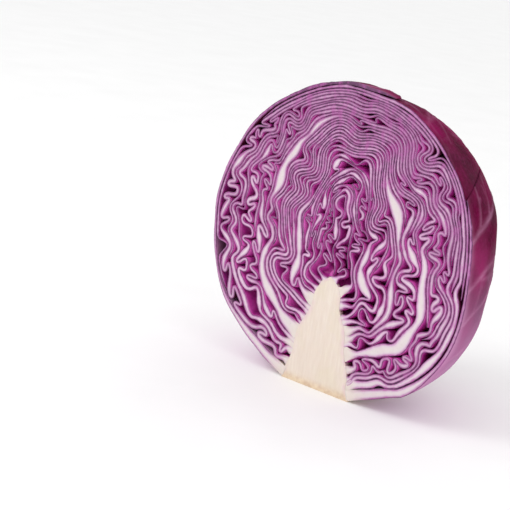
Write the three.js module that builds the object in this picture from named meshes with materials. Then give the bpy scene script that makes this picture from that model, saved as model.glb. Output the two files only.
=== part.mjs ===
// Half of a red cabbage head, cut lengthwise through its core, as a set of separate leaves round the core.
//
// Frame, in millimetres: +Z runs up the core to the top of the head, the cut face looks towards -Y, and +X is to
// the right of somebody who faces the cut. The head stands on its trimmed stem and on the thick base of its back leaf.
//
// Every leaf lies in its own layer between the core and the outside. A layer is described by rays that start at
// the growing point, the top of the core: a ray is named by its turn round the +Y axis (0 at the top of the head,
// growing towards +X) and by its lift from the cut plane towards +Y.
import * as THREE from "three";

// Driving dimensions
const HEAD_HALF_WIDTH = 82.5;
const HEAD_DEPTH = 79; // from the cut face to the outermost point of the back
const HEAD_CENTRE_HEIGHT = 77;
const HEAD_HALF_HEIGHT = 85;
const LOPSIDED = 0.03; // share by which the head is fuller at the lower right and the upper left
const FULLEST_AT = THREE.MathUtils.degToRad(-40); // from +X, towards +Z
const BACK_BASE_SQUARENESS = 0.9; // added to the round exponent of 2 where the back meets the ground

const GROWING_POINT = new THREE.Vector3(0, 0, 62);
const CORE_CONE = THREE.MathUtils.degToRad(21); // half angle of the space the core takes, seen from the growing point
const CORE_TOP_HEIGHT = 55;
const CORE_GAP = 1.2;

const HEAD_LEAF_COUNT = 28;
const LEAF_GAP = 0.4; // between one leaf and the next, along a ray
const HEART_RADIUS = 5; // where the innermost leaf starts
const OUTER_LEAF_THICKNESS = 1.6;
const OUTER_LEAF_PITCH = 2.9; // from one outer leaf to the next, so that coarse facets stay clear
const OUTER_LEAF_LAYERS = 2;
const OUTER_CLEARANCE = 0.6; // between the outer leaves and the head they wrap
const OUTER_RIB_THICKNESS = 3.6; // more than the rest of an outer leaf, where its midrib meets the stem

const TURN_STEPS = 20; // over the whole turn, from one side of the core to the other
const CORE_LIFT_STEPS = 3; // from the cut plane to the back of the core
const BACK_LIFT_STEPS = 4; // from there to the outermost point of the back
const OUTER_STEPS = 24;

const LEAF_COLOUR = 0x8c3d7c;
const OUTER_COLOUR = 0x5c1a3e;
const CORE_COLOUR = 0xefe3d0;

const deg = THREE.MathUtils.degToRad;
const { smoothstep, lerp, clamp } = THREE.MathUtils;

// Distance from the middle of the head to its outside, towards a unit direction.
function headRadius(direction) {
  const back = smoothstep(direction.y, 0, 0.8) * smoothstep(-direction.z, -0.1, 0.8);
  const power = 2 + BACK_BASE_SQUARENESS * back;
  const share = Math.pow(Math.abs(direction.x) / HEAD_HALF_WIDTH, power)
    + Math.pow(Math.abs(direction.y) / HEAD_DEPTH, power)
    + Math.pow(Math.abs(direction.z) / HEAD_HALF_HEIGHT, power);
  const round = Math.pow(share, -1 / power);
  const turn = Math.atan2(direction.z, direction.x);
  const nearCut = 1 - direction.y * direction.y;
  return round * (1 + LOPSIDED * Math.cos(2 * (turn - FULLEST_AT)) * nearCut);
}

// Distance from the growing point to the outside of the head along a ray, found by halving.
function rayLength(ray) {
  const middle = new THREE.Vector3(0, 0, HEAD_CENTRE_HEIGHT);
  let near = 0;
  let far = 2 * HEAD_HALF_HEIGHT;
  for (let i = 0; i < 30; i++) {
    const reach = (near + far) / 2;
    const offset = GROWING_POINT.clone().addScaledVector(ray, reach).sub(middle);
    const inside = offset.length() < headRadius(offset.clone().normalize());
    if (inside) near = reach;
    else far = reach;
  }
  const toGround = ray.z < 0 ? GROWING_POINT.z / -ray.z : Infinity;
  return Math.min(near, toGround);
}

// The ray with a given turn and lift.
function rayAt(turn, lift) {
  return new THREE.Vector3(Math.sin(turn) * Math.cos(lift), Math.sin(lift), Math.cos(turn) * Math.cos(lift));
}

// The turn at which the leaves meet the core, at a given lift. Behind the core they meet under the head.
function coreTurn(lift) {
  const nearness = Math.cos(CORE_CONE) / Math.cos(lift);
  return nearness < 1 ? Math.PI - Math.acos(nearness) : Math.PI;
}

// The lifts of the rows of rays: even steps round the core first, and then even steps to the back of the head.
function rowLifts() {
  const roundCore = Array.from({ length: CORE_LIFT_STEPS }, (_, i) =>
    Math.asin(Math.sin(CORE_CONE) * Math.sin((i * Math.PI) / 2 / CORE_LIFT_STEPS)));
  const toBack = Array.from({ length: BACK_LIFT_STEPS + 1 }, (_, i) =>
    lerp(CORE_CONE, Math.PI / 2, i / BACK_LIFT_STEPS));
  return [...roundCore, ...toBack];
}

// A closed shell between an inner and an outer grid of points, given by row and column.
function shellGeometry(inner, outer) {
  const points = [];
  const number = new Map();
  const vertex = (point) => {
    const key = `${point.x.toFixed(4)},${point.y.toFixed(4)},${point.z.toFixed(4)}`;
    if (!number.has(key)) {
      number.set(key, points.length / 3);
      points.push(point.x, point.y, point.z);
    }
    return number.get(key);
  };
  const faces = [];
  const triangle = (a, b, c) => {
    const [i, j, k] = [vertex(a), vertex(b), vertex(c)];
    if (i !== j && j !== k && k !== i) faces.push(i, j, k);
  };
  const quad = (a, b, c, d) => {
    triangle(a, b, c);
    triangle(a, c, d);
  };
  const rows = inner.length - 1;
  const columns = inner[0].length - 1;
  for (let i = 0; i < rows; i++) {
    for (let j = 0; j < columns; j++) {
      // both surfaces are split along the same diagonal, so that neighbouring leaves keep apart
      quad(outer[i][j], outer[i][j + 1], outer[i + 1][j + 1], outer[i + 1][j]);
      quad(inner[i][j], inner[i + 1][j], inner[i + 1][j + 1], inner[i][j + 1]);
    }
    quad(inner[i][0], outer[i][0], outer[i + 1][0], inner[i + 1][0]);
    quad(outer[i][columns], inner[i][columns], inner[i + 1][columns], outer[i + 1][columns]);
  }
  for (let j = 0; j < columns; j++) {
    quad(outer[0][j + 1], outer[0][j], inner[0][j], inner[0][j + 1]);
    quad(outer[rows][j], outer[rows][j + 1], inner[rows][j + 1], inner[rows][j]);
  }
  return facingOut(points, faces);
}

// The geometry of a closed mesh, with its faces turned so that they point outwards.
function facingOut(points, faces) {
  let volume = 0;
  for (let f = 0; f < faces.length; f += 3) {
    const [a, b, c] = [0, 1, 2].map((i) => new THREE.Vector3().fromArray(points, 3 * faces[f + i]));
    volume += a.dot(b.cross(c));
  }
  if (volume < 0) faces.reverse();
  const geometry = new THREE.BufferGeometry();
  geometry.setAttribute("position", new THREE.Float32BufferAttribute(points, 3));
  geometry.setIndex(faces);
  geometry.computeVertexNormals();
  return geometry;
}

function namedMesh(name, geometry, color, roughness) {
  const material = new THREE.MeshStandardMaterial({ color, roughness, metalness: 0 });
  const mesh = new THREE.Mesh(geometry, material);
  mesh.name = name;
  return mesh;
}

// The head leaves, from the innermost to the outermost. They spring from the left and the right of the core in
// turn, and each reaches over the top of the head and some way down the far side. The inner ones are crumpled,
// so their layers are deep; the outer ones lie flat on each other over the top.
function headLeaves() {
  return Array.from({ length: HEAD_LEAF_COUNT }, (_, k) => {
    const age = k / (HEAD_LEAF_COUNT - 1);
    const ribbed = Math.floor(k / 2) % 2 === 0;
    return {
      number: k + 1,
      side: k % 2 ? 1 : -1,
      topDepth: lerp(6, 2.2, smoothstep(age, 0, 0.4)),
      sideDepth: ribbed ? lerp(4, 6, Math.sin(Math.PI * age)) : lerp(6, 4.5, age),
      reach: 0.22 + 0.05 * ((k * 3) % 7), // share of the turn down the far side
    };
  });
}

// Where the layer of each leaf starts and ends along one ray, as [start, end] from the growing point.
function layersAlong(leaves, share, lift) {
  const turn = share * coreTurn(lift);
  const ray = rayAt(turn, lift);
  const outside = rayLength(ray) - OUTER_LEAF_LAYERS * OUTER_LEAF_PITCH - OUTER_CLEARANCE;
  const weights = leaves.map((leaf) => {
    const ownSide = leaf.side * share;
    const present = -ownSide <= leaf.reach + 1e-6;
    return present ? lerp(leaf.topDepth, leaf.sideDepth, smoothstep(ownSide, 0.05, 0.45)) : 0;
  });
  const total = weights.reduce((sum, weight) => sum + weight, 0);
  const scale = (outside - HEART_RADIUS) / total;
  let start = HEART_RADIUS;
  const bands = weights.map((weight) => {
    const band = [start + LEAF_GAP / 2, start + weight * scale - LEAF_GAP / 2];
    start += weight * scale;
    return band;
  });
  return { ray, bands };
}

// All the head leaves share one grid of rays, so neighbours have matching facets and can't cross.
function buildHeadLeaves() {
  const leaves = headLeaves();
  const shares = Array.from({ length: TURN_STEPS + 1 }, (_, j) => (2 * j) / TURN_STEPS - 1);
  const lifts = rowLifts();
  const backRow = lifts.length - 1;
  const grid = lifts.map((lift, i) => shares.map((share) => layersAlong(leaves, i === backRow ? 0 : share, lift)));
  const seam = CORE_GAP / 2; // leaves from the two sides stay this far from the middle plane under the head
  return leaves.map((leaf, k) => {
    const columns = shares
      .map((share, j) => j)
      .filter((j) => -leaf.side * shares[j] <= leaf.reach + 1e-6);
    const surface = (end) => lifts.map((lift, i) => columns.map((j) => {
      const { ray, bands } = grid[i][j];
      const point = GROWING_POINT.clone().addScaledVector(ray, bands[k][end]);
      const underHead = Math.abs(shares[j]) > 0.99;
      if (underHead && Math.abs(point.x) < seam) point.x = leaf.side * seam;
      if (i === backRow) point.x = 0;
      return point;
    }));
    const side = leaf.side < 0 ? "left" : "right";
    const name = `head_leaf_${String(leaf.number).padStart(2, "0")}_${side}`;
    return namedMesh(name, shellGeometry(surface(0), surface(1)), LEAF_COLOUR, 0.5);
  });
}

// The ray of a point on an outer leaf. The leaf is centred on the upright plane that holds the core and looks
// towards its bearing (0 at +X, 90 degrees at +Y). The climb is measured from straight down, along the midrib,
// and the spread to one side of it.
function outerLeafRay(bearing, climb, spread) {
  const outwards = new THREE.Vector3(Math.cos(bearing), Math.sin(bearing), 0);
  const sideways = new THREE.Vector3(-Math.sin(bearing), Math.cos(bearing), 0);
  const midrib = new THREE.Vector3(0, 0, -Math.cos(climb)).addScaledVector(outwards, Math.sin(climb));
  return midrib.multiplyScalar(Math.cos(spread)).addScaledVector(sideways, Math.sin(spread));
}

// How strongly the midrib stands out: 1 along its middle where it meets the stem, 0 away from it.
function midribAt(climb, spread) {
  return smoothstep(-climb, deg(-72), deg(-34)) * smoothstep(-Math.abs(spread), deg(-15), deg(-5));
}

// One outer leaf. Its spreads are the angles to which its two margins reach at the stalk, halfway and at the tip.
// The midrib of the side leaves thickens inwards, and that of the leaf behind thickens outwards, to the ground.
function buildOuterLeaf({ name, bearing, base, tip, nearSpreads, farSpreads, layer }) {
  const margin = ([stalk, middle, end], along) => along < 0.5
    ? lerp(stalk, middle, Math.sin(Math.PI * along))
    : lerp(end, middle, Math.sin(Math.PI * along));
  const surface = (drop, ribDrop) => Array.from({ length: OUTER_STEPS / 2 + 1 }, (_, i) =>
    Array.from({ length: OUTER_STEPS + 1 }, (_, j) => {
      const along = j / OUTER_STEPS;
      const climb = lerp(base, tip, along);
      const spread = lerp(margin(nearSpreads, along), margin(farSpreads, along), i / (OUTER_STEPS / 2));
      const ray = outerLeafRay(bearing, climb, spread);
      const depth = drop + ribDrop * midribAt(climb, spread);
      const point = GROWING_POINT.clone().addScaledVector(ray, rayLength(ray) - depth);
      point.y = Math.max(point.y, 0);
      return point;
    }));
  const outside = layer * OUTER_LEAF_PITCH;
  const outer = surface(outside, -outside);
  const inner = surface(outside + OUTER_LEAF_THICKNESS, layer ? 0 : OUTER_RIB_THICKNESS);
  return namedMesh(name, shellGeometry(inner, outer), OUTER_COLOUR, 0.4);
}

const outerLeaves = [
  {
    name: "outer_leaf_left",
    bearing: Math.PI,
    base: deg(23),
    tip: deg(194),
    nearSpreads: [0, 0, 0],
    farSpreads: [deg(-30), deg(-72), deg(-6)],
    layer: 0,
  },
  {
    name: "outer_leaf_right",
    bearing: 0,
    base: deg(23),
    tip: deg(126),
    nearSpreads: [0, 0, 0],
    farSpreads: [deg(30), deg(70), deg(36)],
    layer: 0,
  },
  {
    name: "outer_leaf_back",
    bearing: Math.PI / 2,
    base: deg(23),
    tip: deg(180),
    nearSpreads: [deg(-22), deg(-80), deg(-80)],
    farSpreads: [deg(22), deg(66), deg(40)],
    layer: 1,
  },
];

// The core: a half cone of solid stem with a flat trimmed end, which the leaves grow from.
function buildCore() {
  const steps = 16;
  const levels = [0, 12, 24, 36, 46, CORE_TOP_HEIGHT];
  const rings = levels.map((height) => {
    const radius = (GROWING_POINT.z - height) * Math.tan(CORE_CONE) - CORE_GAP;
    return Array.from({ length: steps + 1 }, (_, j) => {
      const bearing = (Math.PI * j) / steps;
      return new THREE.Vector3(radius * Math.cos(bearing), Math.abs(radius * Math.sin(bearing)), height);
    });
  });
  const axis = levels.map((height) => Array.from({ length: steps + 1 }, () => new THREE.Vector3(0, 0, height)));
  return namedMesh("core", shellGeometry(axis, rings), CORE_COLOUR, 0.6);
}

const head = new THREE.Group();
head.add(buildCore(), ...buildHeadLeaves(), ...outerLeaves.map(buildOuterLeaf));

// The frame's origin is under the middle of the box round the half head.
const box = new THREE.Box3().setFromObject(head);
const middle = box.getCenter(new THREE.Vector3());
head.position.set(-middle.x, -middle.y, -box.min.z);

const part = new THREE.Group();
part.add(head);

export default part;
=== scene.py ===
"""Half of a red cabbage head, cut lengthwise through its core and standing on its trimmed stem.

The leaves are grown: each starts as one smooth layer round the growing point, and its blade then lengthens
in the little room it has, so that it crumples against its neighbours as in a real head. The folded lines in
the cut are the result, and each leaf is drawn back from there into a closed bowl round the growing point.

Lengths are in millimetres until a mesh is made. A turn is an angle round the growing point in the cut plane,
0 at the top of the head and growing to the right. A lift is the angle from the cut plane towards the back.
"""

import logging
import math
from dataclasses import dataclass, field
from enum import Enum

import bpy
import numpy as np
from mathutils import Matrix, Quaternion, Vector

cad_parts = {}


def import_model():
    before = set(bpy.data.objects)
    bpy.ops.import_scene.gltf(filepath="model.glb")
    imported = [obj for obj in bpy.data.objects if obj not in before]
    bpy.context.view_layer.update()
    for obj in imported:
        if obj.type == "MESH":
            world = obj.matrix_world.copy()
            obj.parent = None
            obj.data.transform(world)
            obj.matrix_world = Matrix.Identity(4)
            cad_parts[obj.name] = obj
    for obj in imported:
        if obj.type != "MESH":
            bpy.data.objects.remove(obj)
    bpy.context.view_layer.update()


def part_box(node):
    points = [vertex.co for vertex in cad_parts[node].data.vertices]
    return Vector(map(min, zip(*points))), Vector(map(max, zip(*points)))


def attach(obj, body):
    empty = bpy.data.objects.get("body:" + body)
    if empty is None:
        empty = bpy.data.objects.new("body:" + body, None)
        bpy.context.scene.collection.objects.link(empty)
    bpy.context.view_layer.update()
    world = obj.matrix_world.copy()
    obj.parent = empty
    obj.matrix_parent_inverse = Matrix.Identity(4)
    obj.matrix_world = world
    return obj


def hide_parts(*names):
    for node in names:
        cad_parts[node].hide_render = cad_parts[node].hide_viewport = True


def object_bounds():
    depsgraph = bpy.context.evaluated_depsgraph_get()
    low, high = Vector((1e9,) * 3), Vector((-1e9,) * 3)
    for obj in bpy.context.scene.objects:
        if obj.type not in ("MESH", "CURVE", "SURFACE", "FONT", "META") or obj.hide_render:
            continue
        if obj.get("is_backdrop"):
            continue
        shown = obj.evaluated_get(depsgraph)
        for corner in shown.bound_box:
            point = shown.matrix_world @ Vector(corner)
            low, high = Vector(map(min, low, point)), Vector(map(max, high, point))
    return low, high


LOG = logging.getLogger("red_cabbage")
MM = 0.001
BODY = "root"
FULL_TURN = 6.28

Array = np.ndarray
Chance = np.random.Generator
Tree = bpy.types.NodeTree
Socket = bpy.types.NodeSocket
Profile = tuple[tuple[float, float], ...]


def smooth(value: Array | float, low: float, high: float) -> Array:
    """Rises from 0 at low to 1 at high, with level ends.

    Args:
        value: Where to evaluate it.
        low: The value that gives 0.
        high: The value that gives 1.

    Returns:
        The share, of the same shape as value.
    """
    share = np.clip((np.asarray(value, float) - low) / (high - low), 0.0, 1.0)
    return share * share * (3 - 2 * share)


def blend(first: Array | float, second: Array | float, share: Array | float) -> Array:
    """Mixes two values: first at share 0 and second at share 1."""
    return first + (second - first) * share


def line_lengths(points: Array) -> Array:
    """The distance along a line to each of its points."""
    return np.concatenate([[0], np.cumsum(np.linalg.norm(np.diff(points, axis=0), axis=1))])


# ------------------------------------------------------------------------------- shape of the head


@dataclass(frozen=True)
class HeadShape:
    """The outside of the head and the space of its core, in millimetres and degrees.

    The bulges lie at turns about the middle of the head, the wrap at turns about the growing point, and the
    core profile gives half widths by height.
    """

    half_width: float = 82.5
    depth: float = 78.4
    half_height: float = 85.0
    centre_height: float = 77.0
    lopsided: float = 0.03
    fullest_at: float = -40.0
    base_squareness: float = 0.15
    growing_height: float = 62.0
    core_cone: float = 21.0
    stem_radius: float = 22.0
    undercut: float = 0.40
    shoulder: float = 0.022
    halvings: int = 24
    bulges: Profile = (
        (-180, 0.0), (-150, -2.2), (-120, 2.0), (-90, 0.2), (-60, -3.4), (-30, -4.4),
        (0, -1.4), (30, 0.6), (60, 1.0), (90, -2.8), (120, -1.6), (150, -3.0), (180, 0.0),
    )
    core_profile: Profile = (
        (0, 21.8), (6, 20.0), (14, 18.4), (24, 16.4), (35, 13.0),
        (45, 9.6), (52, 7.6), (57, 5.2), (60.5, 0.0),
    )
    wrap: Profile = (
        (-159, 5.8), (-135, 5.0), (-110, 3.2), (-95, 2.6), (-48, 2.6), (-36, 4.4), (0, 4.4), (22, 2.7),
        (45, 2.7), (60, 4.5), (75, 4.4), (95, 2.8), (112, 3.6), (135, 5.6), (159, 6.6),
    )

    def radius(self, x: Array, y: Array, z: Array) -> Array:
        """Distance from the middle of the head to its outside.

        Args:
            x: Unit direction, to the right.
            y: Unit direction, to the back.
            z: Unit direction, up.

        Returns:
            The distance along each direction.
        """
        back = smooth(y, 0.0, 0.8) * smooth(-z, -0.1, 0.8)
        power = 2 + self.base_squareness * back
        share = (np.abs(x) / self.half_width) ** power + (np.abs(y) / self.depth) ** power
        share = share + (np.abs(z) / self.half_height) ** power
        lean = np.cos(2 * (np.arctan2(z, x) - math.radians(self.fullest_at)))
        behind = smooth(y, 0.05, 0.6) * smooth(-y, -1.0, -0.6)
        shoulder = self.shoulder * behind * smooth(z, -0.3, 0.5) * smooth(x, 0.0, 0.7)
        round_part = share ** (-1 / power) * (1 + self.lopsided * lean * (1 - y * y)) * (1 + shoulder)
        return round_part + self.bulge(np.degrees(np.arctan2(x, z))) * (1 - y * y)

    def bulge(self, turn: Array) -> Array:
        """How far the outline stands proud of an even round.

        Args:
            turn: Turns about the middle of the head, in degrees.

        Returns:
            The heights.
        """
        at, size = np.array(self.bulges).T
        low = np.clip(np.searchsorted(at, turn, side="right") - 1, 0, len(at) - 2)
        return blend(size[low], size[low + 1], smooth((turn - at[low]) / (at[low + 1] - at[low]), 0, 1))

    def ground(self, x: Array, y: Array) -> Array:
        """The height under the head: level under the trimmed stem, and rising round it with the leaves."""
        return self.undercut * np.maximum(np.hypot(x, y) - self.stem_radius, 0)

    def ray_length(self, turn: Array, lift: Array) -> Array:
        """Distance from the growing point to the outside of the head, or to the ground.

        Args:
            turn: Turns of the rays, in radians.
            lift: Lifts of the rays, in radians.

        Returns:
            The length of each ray.
        """
        turn, lift = np.broadcast_arrays(turn, lift)
        ray = np.stack([np.sin(turn) * np.cos(lift), np.sin(lift), np.cos(turn) * np.cos(lift)])
        near, far = np.zeros(turn.shape), np.full(turn.shape, 2 * self.half_height)
        for _ in range(self.halvings):
            reach = (near + far) / 2
            offset = ray * reach
            offset[2] += self.growing_height - self.centre_height
            distance = np.sqrt((offset**2).sum(0)) + 1e-9
            inside = distance < self.radius(*(offset / distance))
            inside &= offset[2] + self.centre_height > self.ground(offset[0], offset[1])
            near, far = np.where(inside, reach, near), np.where(inside, far, reach)
        return near

    def core_turn(self, lift: Array) -> Array:
        """The turn in radians at which leaves meet the core at a lift. It is half a turn behind the core."""
        nearness = np.clip(math.cos(math.radians(self.core_cone)) / np.maximum(np.cos(lift), 1e-6), -1, 1)
        return math.pi - np.arccos(nearness)

    def core_half_width(self, height: Array) -> Array:
        """Half the width of the core at a height: a blunt cone that swells towards the trimmed end."""
        return np.interp(height, *np.array(self.core_profile).T)

    def wrap_depth(self, turn: Array) -> Array:
        """How deep below the outside the folded head starts, under the outer leaves and their midribs."""
        return np.interp(np.degrees(turn), *np.array(self.wrap).T)


@dataclass(frozen=True)
class Placement:
    """Where the head's own axes lie in the frame."""

    x: float
    y: float

    @classmethod
    def from_frame(cls) -> "Placement":
        """Reads the place of the cut plane and of the middle of the core from the core's box."""
        low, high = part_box("core")
        return cls((low.x + high.x) / 2, low.y)

    def to_frame(self, points: Array) -> Array:
        """Turns millimetres on the head's axes into metres in the frame.

        Args:
            points: An array whose last axis is x, y, z.

        Returns:
            The same points in the frame.
        """
        return np.asarray(points, float) * MM + np.array([self.x, self.y, 0.0])


# -------------------------------------------------------------------------- materials and finishes


def linear(hex_colour: str) -> tuple[float, float, float, float]:
    """Turns an sRGB hex colour into a linear one.

    Args:
        hex_colour: Six hex digits, with or without a leading hash.

    Returns:
        Red, green, blue and an alpha of 1.
    """
    digits = hex_colour.lstrip("#")
    parts = [int(digits[i : i + 2], 16) / 255 for i in (0, 2, 4)]
    red, green, blue = (p / 12.92 if p <= 0.04045 else ((p + 0.055) / 1.055) ** 2.4 for p in parts)
    return red, green, blue, 1.0


def add_node(
    tree: Tree,
    kind: str,
    settings: dict[str | int, object] | None = None,
    links: dict[str | int, Socket] | None = None,
) -> bpy.types.Node:
    """Adds a node to a tree.

    Args:
        tree: The tree it goes in.
        kind: The node's type name.
        settings: Values by property name, or by input name or number.
        links: Output sockets by the input name or number that they feed.

    Returns:
        The new node.
    """
    node = tree.nodes.new(kind)
    for name, value in (settings or {}).items():
        if isinstance(name, str) and hasattr(node, name):
            setattr(node, name, value)
        else:
            node.inputs[name].default_value = value
    for name, socket in (links or {}).items():
        tree.links.new(socket, node.inputs[name])
    return node


def plug(tree: Tree, node: bpy.types.Node, name: str | int, value: Socket | str | float) -> None:
    """Feeds an input of a node from a socket, a hex colour or a number.

    Args:
        tree: The node's tree.
        node: The node.
        name: The input's name or number.
        value: What feeds it.
    """
    if isinstance(value, Socket):
        tree.links.new(value, node.inputs[name])
    else:
        node.inputs[name].default_value = linear(value) if isinstance(value, str) else value


def colour_ramp(tree: Tree, factor: Socket, stops: list[tuple[float, str]]) -> Socket:
    """Colours a factor by a ramp.

    Args:
        tree: The tree it goes in.
        factor: The socket that drives it.
        stops: Positions and hex colours, in order.

    Returns:
        The colour socket.
    """
    ramp = add_node(tree, "ShaderNodeValToRGB", links={"Fac": factor})
    elements = ramp.color_ramp.elements
    for _ in stops[2:]:
        elements.new(0.5)
    for element, (position, colour) in zip(elements, stops):
        element.position = position
        element.color = linear(colour)
    return ramp.outputs["Color"]


def mix_colour(tree: Tree, factor: Socket | float, first: Socket | str, second: Socket | str) -> Socket:
    """Mixes two colours.

    Args:
        tree: The tree it goes in.
        factor: 0 for the first colour and 1 for the second.
        first: A socket or a hex colour.
        second: A socket or a hex colour.

    Returns:
        The mixed colour's socket.
    """
    node = add_node(tree, "ShaderNodeMix", {"data_type": "RGBA"})
    for name, value in ((0, factor), (6, first), (7, second)):
        plug(tree, node, name, value)
    return node.outputs[2]


def spread(
    tree: Tree, value: Socket, from_low: float, from_high: float, to_low: float, to_high: float
) -> Socket:
    """Maps a value from one range to another and holds it at the ends.

    Args:
        tree: The tree it goes in.
        value: The value's socket.
        from_low: The value that gives to_low.
        from_high: The value that gives to_high.
        to_low: The lowest result.
        to_high: The highest result.

    Returns:
        The result's socket.
    """
    settings = {"From Min": from_low, "From Max": from_high, "To Min": to_low, "To Max": to_high}
    return add_node(tree, "ShaderNodeMapRange", settings, {"Value": value}).outputs["Result"]


def arithmetic(tree: Tree, operation: str, first: Socket | float, second: Socket | float) -> Socket:
    """Joins two values by a Math operation.

    Args:
        tree: The tree it goes in.
        operation: The operation's name.
        first: A socket or a number.
        second: A socket or a number.

    Returns:
        The result's socket.
    """
    node = add_node(tree, "ShaderNodeMath", {"operation": operation})
    for name, value in ((0, first), (1, second)):
        plug(tree, node, name, value)
    return node.outputs[0]


class Finish:
    """A procedural material, with the helpers that the finishes share."""

    name: str = "finish"

    def __init__(self) -> None:
        """Starts the material with its Principled shader."""
        self.material = bpy.data.materials.new(self.name)
        self.material.use_nodes = True
        self.tree = self.material.node_tree
        self.shader = self.tree.nodes["Principled BSDF"]
        self.place = add_node(self.tree, "ShaderNodeTexCoord").outputs["Object"]

    def attribute(self, name: str) -> Socket:
        """The value of one of the piece's own attributes."""
        return add_node(self.tree, "ShaderNodeAttribute", {"attribute_name": name}).outputs["Fac"]

    def noise(
        self, size: float, detail: float = 2.0, squeeze: tuple[float, float, float] = (1, 1, 1)
    ) -> Socket:
        """Noise whose largest shapes have a real size.

        Args:
            size: The size of a shape in millimetres.
            detail: How many finer octaves it has.
            squeeze: How much denser the pattern is along each axis.

        Returns:
            The noise's value socket.
        """
        mapping = add_node(self.tree, "ShaderNodeMapping", {"Scale": squeeze}, {"Vector": self.place})
        settings = {"Scale": 1 / (size * MM), "Detail": detail}
        noise = add_node(self.tree, "ShaderNodeTexNoise", settings, {"Vector": mapping.outputs["Vector"]})
        return noise.outputs["Fac"]

    def bump(self, height: Socket, distance: float, strength: float = 1.0) -> None:
        """Raises the surface by a height pattern.

        Args:
            height: The pattern, from 0 to 1.
            distance: How high 1 stands, in millimetres.
            strength: How much of it is felt.
        """
        settings = {"Strength": strength, "Distance": distance * MM}
        bump = add_node(self.tree, "ShaderNodeBump", settings, {"Height": height})
        self.tree.links.new(bump.outputs["Normal"], self.shader.inputs["Normal"])

    def feed(self, socket: Socket, name: str) -> None:
        """Links a socket to an input of the shader."""
        self.tree.links.new(socket, self.shader.inputs[name])

    def varied_roughness(self, size: float, detail: float, smoothest: float, roughest: float) -> None:
        """Makes some patches wetter or waxier than others.

        Args:
            size: The size of a patch in millimetres.
            detail: How many finer octaves the patches have.
            smoothest: The roughness of the wettest patches.
            roughest: The roughness of the driest ones.
        """
        self.feed(spread(self.tree, self.noise(size, detail), 0.3, 0.7, smoothest, roughest), "Roughness")

    def translucent(self, weight: float, radius: tuple[float, float, float]) -> None:
        """Lets light into the surface.

        Args:
            weight: How much of the light goes in.
            radius: How far red, green and blue light travel inside, in metres.
        """
        self.shader.inputs["Subsurface Weight"].default_value = weight
        self.shader.inputs["Subsurface Radius"].default_value = radius
        self.shader.inputs["Subsurface Scale"].default_value = 1.0


class CutLeafFlesh(Finish):
    """Freshly cut leaf: a purple skin a third of a millimetre thick on each face, and paler, wetter flesh.

    Only the skin holds the pigment, so a thin blade looks mauve all through and a thick midrib is white.
    """

    name = "cut_leaf_flesh"

    def __init__(self) -> None:
        """Builds the colours from the distance to the leaf's own skin."""
        super().__init__()
        tree = self.tree
        wander = spread(tree, self.noise(2.2, 3), 0.25, 0.75, -0.16, 0.16)
        inside = arithmetic(tree, "ADD", self.attribute("skin_distance"), wander)
        stops = [
            (0.0, "#2a0b2c"),
            (0.07, "#451743"),
            (0.15, "#8e4a84"),
            (0.25, "#be86b2"),
            (0.38, "#cfa9c6"),
            (0.62, "#d9c6d2"),
            (1.0, "#ddd2d2"),
        ]
        flesh = colour_ramp(tree, spread(tree, inside, 0.0, 2.4, 0.0, 1.0), stops)
        thin = spread(tree, self.attribute("skin_distance"), 0.8, 1.6, 1.0, 0.12)
        tint = arithmetic(tree, "MULTIPLY", thin, spread(tree, self.noise(16, 4), 0.3, 0.7, 0.35, 1.0))
        pigment = arithmetic(tree, "MULTIPLY", self.attribute("pigment"), tint)
        flesh = mix_colour(tree, pigment, flesh, mix_colour(tree, 0.6, flesh, "#8d4a80"))
        blotches = spread(tree, self.noise(3.5, 6, (1, 1, 0.6)), 0.48, 0.66, 0.0, 0.85)
        blush = arithmetic(tree, "MULTIPLY", thin, blotches)
        flesh = mix_colour(tree, blush, flesh, mix_colour(tree, 0.6, flesh, "#b354a0"))
        stem = colour_ramp(tree, self.noise(3.5, 4), [(0.3, "#dbcfc6"), (0.7, "#e2d7d0")])
        flesh = mix_colour(tree, self.attribute("stemness"), flesh, stem)
        self.feed(flesh, "Base Color")
        self.varied_roughness(1.6, 3, 0.26, 0.5)
        self.translucent(0.12, (0.0016, 0.0009, 0.0013))
        self.bump(self.noise(0.9, 4), 0.10, 0.5)


class InnerLeafSkin(Finish):
    """The skin of a folded leaf, which shows in the hollows between folds: smooth, waxy and deep magenta."""

    name = "inner_leaf_skin"

    def __init__(self) -> None:
        """Builds the colours."""
        super().__init__()
        tree = self.tree
        stops = [(0.28, "#8f1b75"), (0.5, "#bb359a"), (0.72, "#d45db6")]
        skin = colour_ramp(tree, self.noise(7, 5), stops)
        weathered = colour_ramp(tree, self.noise(20, 4), [(0.35, "#3c0c25"), (0.65, "#641440")])
        self.feed(mix_colour(tree, self.attribute("weather"), skin, weathered), "Base Color")
        self.varied_roughness(2.5, 3, 0.3, 0.5)
        self.translucent(0.1, (0.002, 0.0006, 0.0012))
        self.bump(self.noise(1.4, 4), 0.12, 0.6)


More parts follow.
